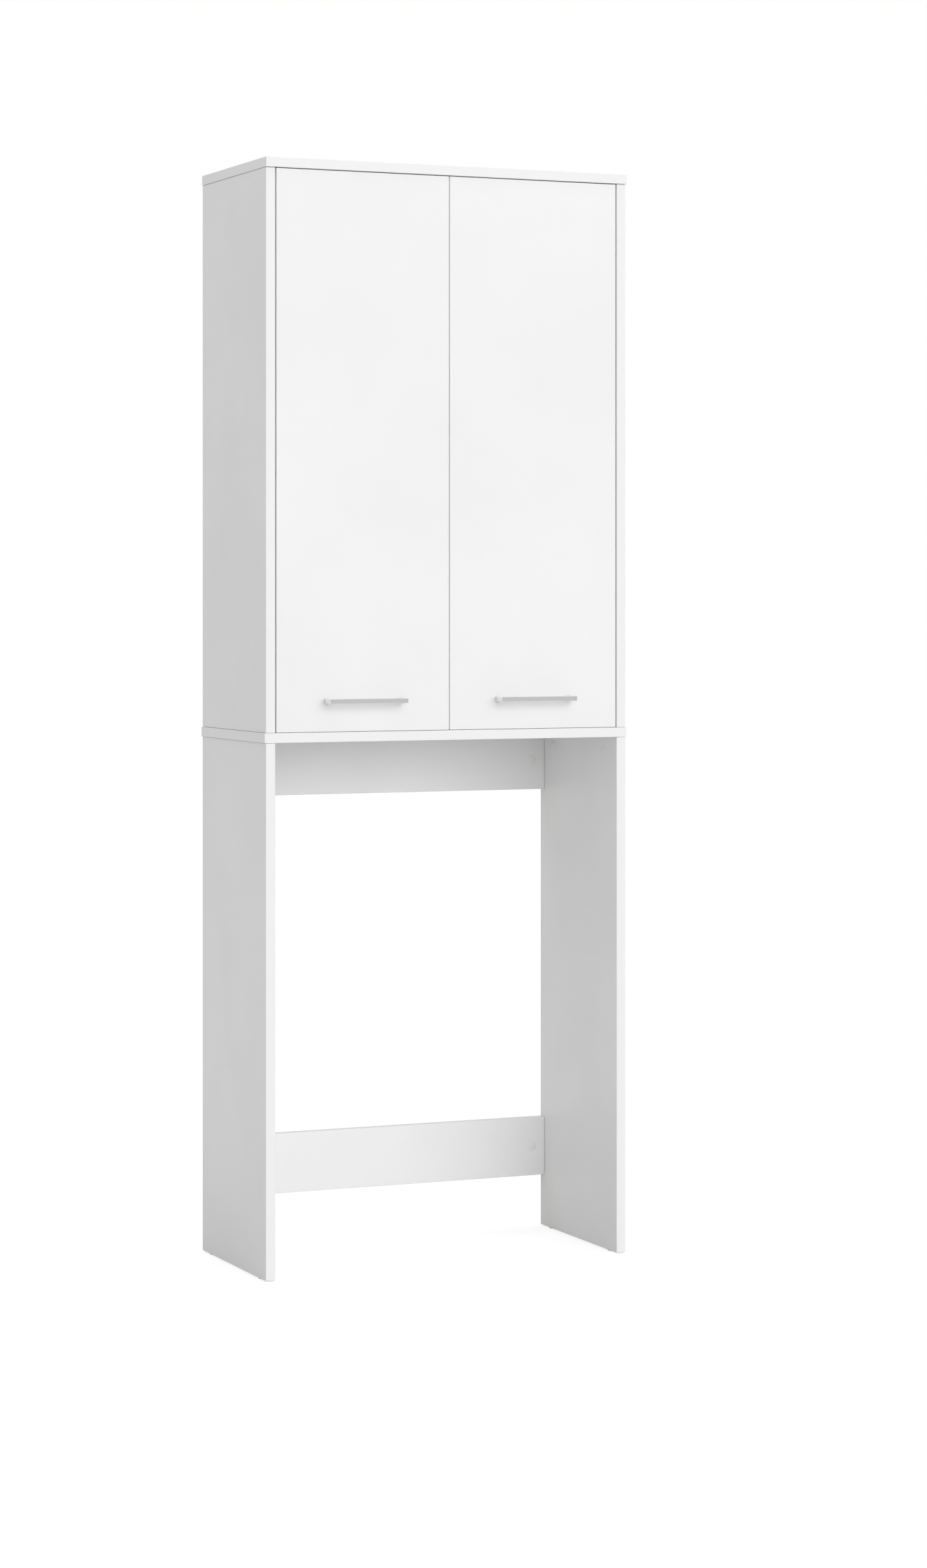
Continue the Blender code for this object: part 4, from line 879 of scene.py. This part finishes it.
class CABINET_OT_stage(bpy.types.Operator):
    """Set the camera, the lights and the pale floor"""
    bl_idname = "cabinet.stage"
    bl_label = "Set the stage"

    def execute(self, context):
        stage = context.scene.cabinet_stage
        self.camera(context, stage)
        self.lights(context, stage)
        self.floor(stage)
        self.world(context, stage)
        context.scene.view_settings.view_transform = "Standard"
        return {"FINISHED"}

    def camera(self, context, stage):
        """The camera stands to the cabinet's left, level, with its lens shifted down."""
        low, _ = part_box("upper_side_left")
        data = bpy.data.cameras.new("camera")
        data.lens = stage.lens
        data.shift_y = stage.shift_up
        data.clip_end = VIEW_END
        camera = bpy.data.objects.new("camera", data)
        camera.location = (low.x - stage.aside, low.y - stage.away, stage.height)
        camera.rotation_euler = (math.pi / 2, 0, -stage.turn)
        context.scene.collection.objects.link(camera)
        context.scene.camera = camera

    def lights(self, context, stage):
        """A broad distant light from the right of the camera, and a soft one overhead that metal shows."""
        key = bpy.data.lights.new("key_light", "SUN")
        key.energy = stage.key_level
        key.angle = stage.key_spread
        top = bpy.data.lights.new("top_light", "AREA")
        top.shape = "RECTANGLE"
        top.size = TOP_LENGTH
        top.size_y = TOP_WIDTH
        top.energy = stage.fill_level
        for data, place in ((key, KEY_PLACE), (top, TOP_PLACE)):
            lamp = bpy.data.objects.new(data.name, data)
            lamp.location = place
            lamp.rotation_euler = (LAMP_AIM - place).to_track_quat("-Z", "Y").to_euler()
            lamp.visible_glossy = data is top
            context.scene.collection.objects.link(lamp)

    def floor(self, stage):
        """A plain pale floor that the camera sees nearly white, with the object's soft shadow.

        Metal sees it dimmer in front of the object, where the studio is dimmer too. It rises to full from
        0.3 to 1.5 m behind the origin.
        """
        material, tree, shader = new_material("Studio floor")
        feed(tree, shader, {"Base Color": stage.floor_colour, "Roughness": 0.9})
        path = node(tree, "ShaderNodeLightPath").outputs
        place = node(tree, "ShaderNodeTexCoord", give="Object")
        depth = node(tree, "ShaderNodeSeparateXYZ", {0: place}, "Y")
        shown = node(
            tree, "ShaderNodeMapRange",
            {"Value": depth, "From Min": 0.3, "From Max": 1.5, "To Min": stage.floor_front}, 0,
        )
        level = node(tree, "ShaderNodeMath", {0: path["Is Camera Ray"], 1: shown}, 0, operation="MAXIMUM")
        glow = node(tree, "ShaderNodeMath", {0: level, 1: stage.floor_glow}, 0, operation="MULTIPLY")
        white = node(tree, "ShaderNodeEmission", {"Color": (1, 1, 1, 1), "Strength": glow}, 0)
        seen = node(
            tree, "ShaderNodeMath", {0: path["Is Camera Ray"], 1: path["Is Glossy Ray"]}, 0,
            operation="MAXIMUM",
        )
        share = node(tree, "ShaderNodeMath", {0: seen, 1: stage.floor_share}, 0, operation="MULTIPLY")
        blend = node(tree, "ShaderNodeMixShader", {0: share, 1: shader.outputs[0], 2: white}, 0)
        feed(tree, tree.nodes["Material Output"], {"Surface": blend})
        bm = bmesh.new()
        bmesh.ops.create_circle(bm, cap_ends=True, segments=FLOOR_SIDES, radius=FLOOR_RADIUS)
        mesh_object("floor", bm, (material,))

    def world(self, context, stage):
        """Soft even light, and a plain white backdrop.

        Metal also shows the studio's dimmer front and ceiling. It brightens from 30 degrees in front of
        sideways to 6 degrees behind, and dims again from 14 to 37 degrees up.
        """
        world = bpy.data.worlds.new("Studio")
        world.use_nodes = True
        tree = world.node_tree
        path = node(tree, "ShaderNodeLightPath").outputs
        place = node(tree, "ShaderNodeTexCoord", give="Generated")
        way = node(tree, "ShaderNodeSeparateXYZ", {0: place}).outputs
        behind = node(tree, "ShaderNodeMapRange", {"Value": way["Y"], "From Min": -0.5, "From Max": 0.1}, 0)
        low = node(
            tree, "ShaderNodeMapRange",
            {"Value": way["Z"], "From Min": 0.25, "From Max": 0.6, "To Min": 1, "To Max": 0}, 0,
        )
        backdrop = node(tree, "ShaderNodeMath", {0: behind, 1: low}, 0, operation="MULTIPLY")
        shown = node(tree, "ShaderNodeMapRange", {"Value": backdrop, "To Min": stage.front_level}, 0)
        glossy = node(tree, "ShaderNodeMath", {0: path["Is Glossy Ray"], 1: shown}, 0, operation="MULTIPLY")
        seen = node(
            tree, "ShaderNodeMath", {0: path["Is Camera Ray"], 1: path["Is Transmission Ray"]}, 0,
            operation="MAXIMUM",
        )
        level = node(tree, "ShaderNodeMath", {0: seen, 1: glossy}, 0, operation="MAXIMUM")
        level = node(tree, "ShaderNodeMath", {0: level, 1: stage.world_level}, 0, operation="MAXIMUM")
        feed(tree, tree.nodes["Background"], {"Color": (1, 1, 1, 1), "Strength": level})
        context.scene.world = world


class CABINET_PT_panel(bpy.types.Panel):
    """The cabinet's finishes, in the sidebar"""
    bl_idname = "CABINET_PT_panel"
    bl_label = "Cabinet"
    bl_space_type = "VIEW_3D"
    bl_region_type = "UI"
    bl_category = "Cabinet"

    def draw(self, context):
        for operator in OPERATORS:
            self.layout.operator(operator.bl_idname)
        for group in GROUPS:
            settings = getattr(context.scene, group)
            box = self.layout.box()
            for name in settings.__annotations__:
                box.prop(settings, name)


OPERATORS = (
    CABINET_OT_stage,
    CABINET_OT_boards,
    CABINET_OT_doors,
    CABINET_OT_ironmongery,
    CABINET_OT_handles,
    CABINET_OT_hinge_screws,
    CABINET_OT_bracket_screw,
    CABINET_OT_covers,
)
GROUPS = {"cabinet_colours": CabinetColours, "cabinet_sizes": CabinetSizes, "cabinet_stage": StageSettings}


def register():
    for group in GROUPS.values():
        bpy.utils.register_class(group)
    for name, group in GROUPS.items():
        setattr(bpy.types.Scene, name, PointerProperty(type=group))
    for operator in OPERATORS:
        bpy.utils.register_class(operator)
    bpy.utils.register_class(CABINET_PT_panel)


def unregister():
    bpy.utils.unregister_class(CABINET_PT_panel)
    for operator in reversed(OPERATORS):
        bpy.utils.unregister_class(operator)
    for name, group in GROUPS.items():
        delattr(bpy.types.Scene, name)
        bpy.utils.unregister_class(group)


def main():
    register()
    bpy.ops.cabinet.stage()
    bpy.ops.cabinet.boards()
    bpy.ops.cabinet.doors()
    bpy.ops.cabinet.ironmongery()
    bpy.ops.cabinet.handles()
    bpy.ops.cabinet.hinge_screws()
    bpy.ops.cabinet.bracket_screw()
    bpy.ops.cabinet.covers()


if __name__ == "__main__":
    main()
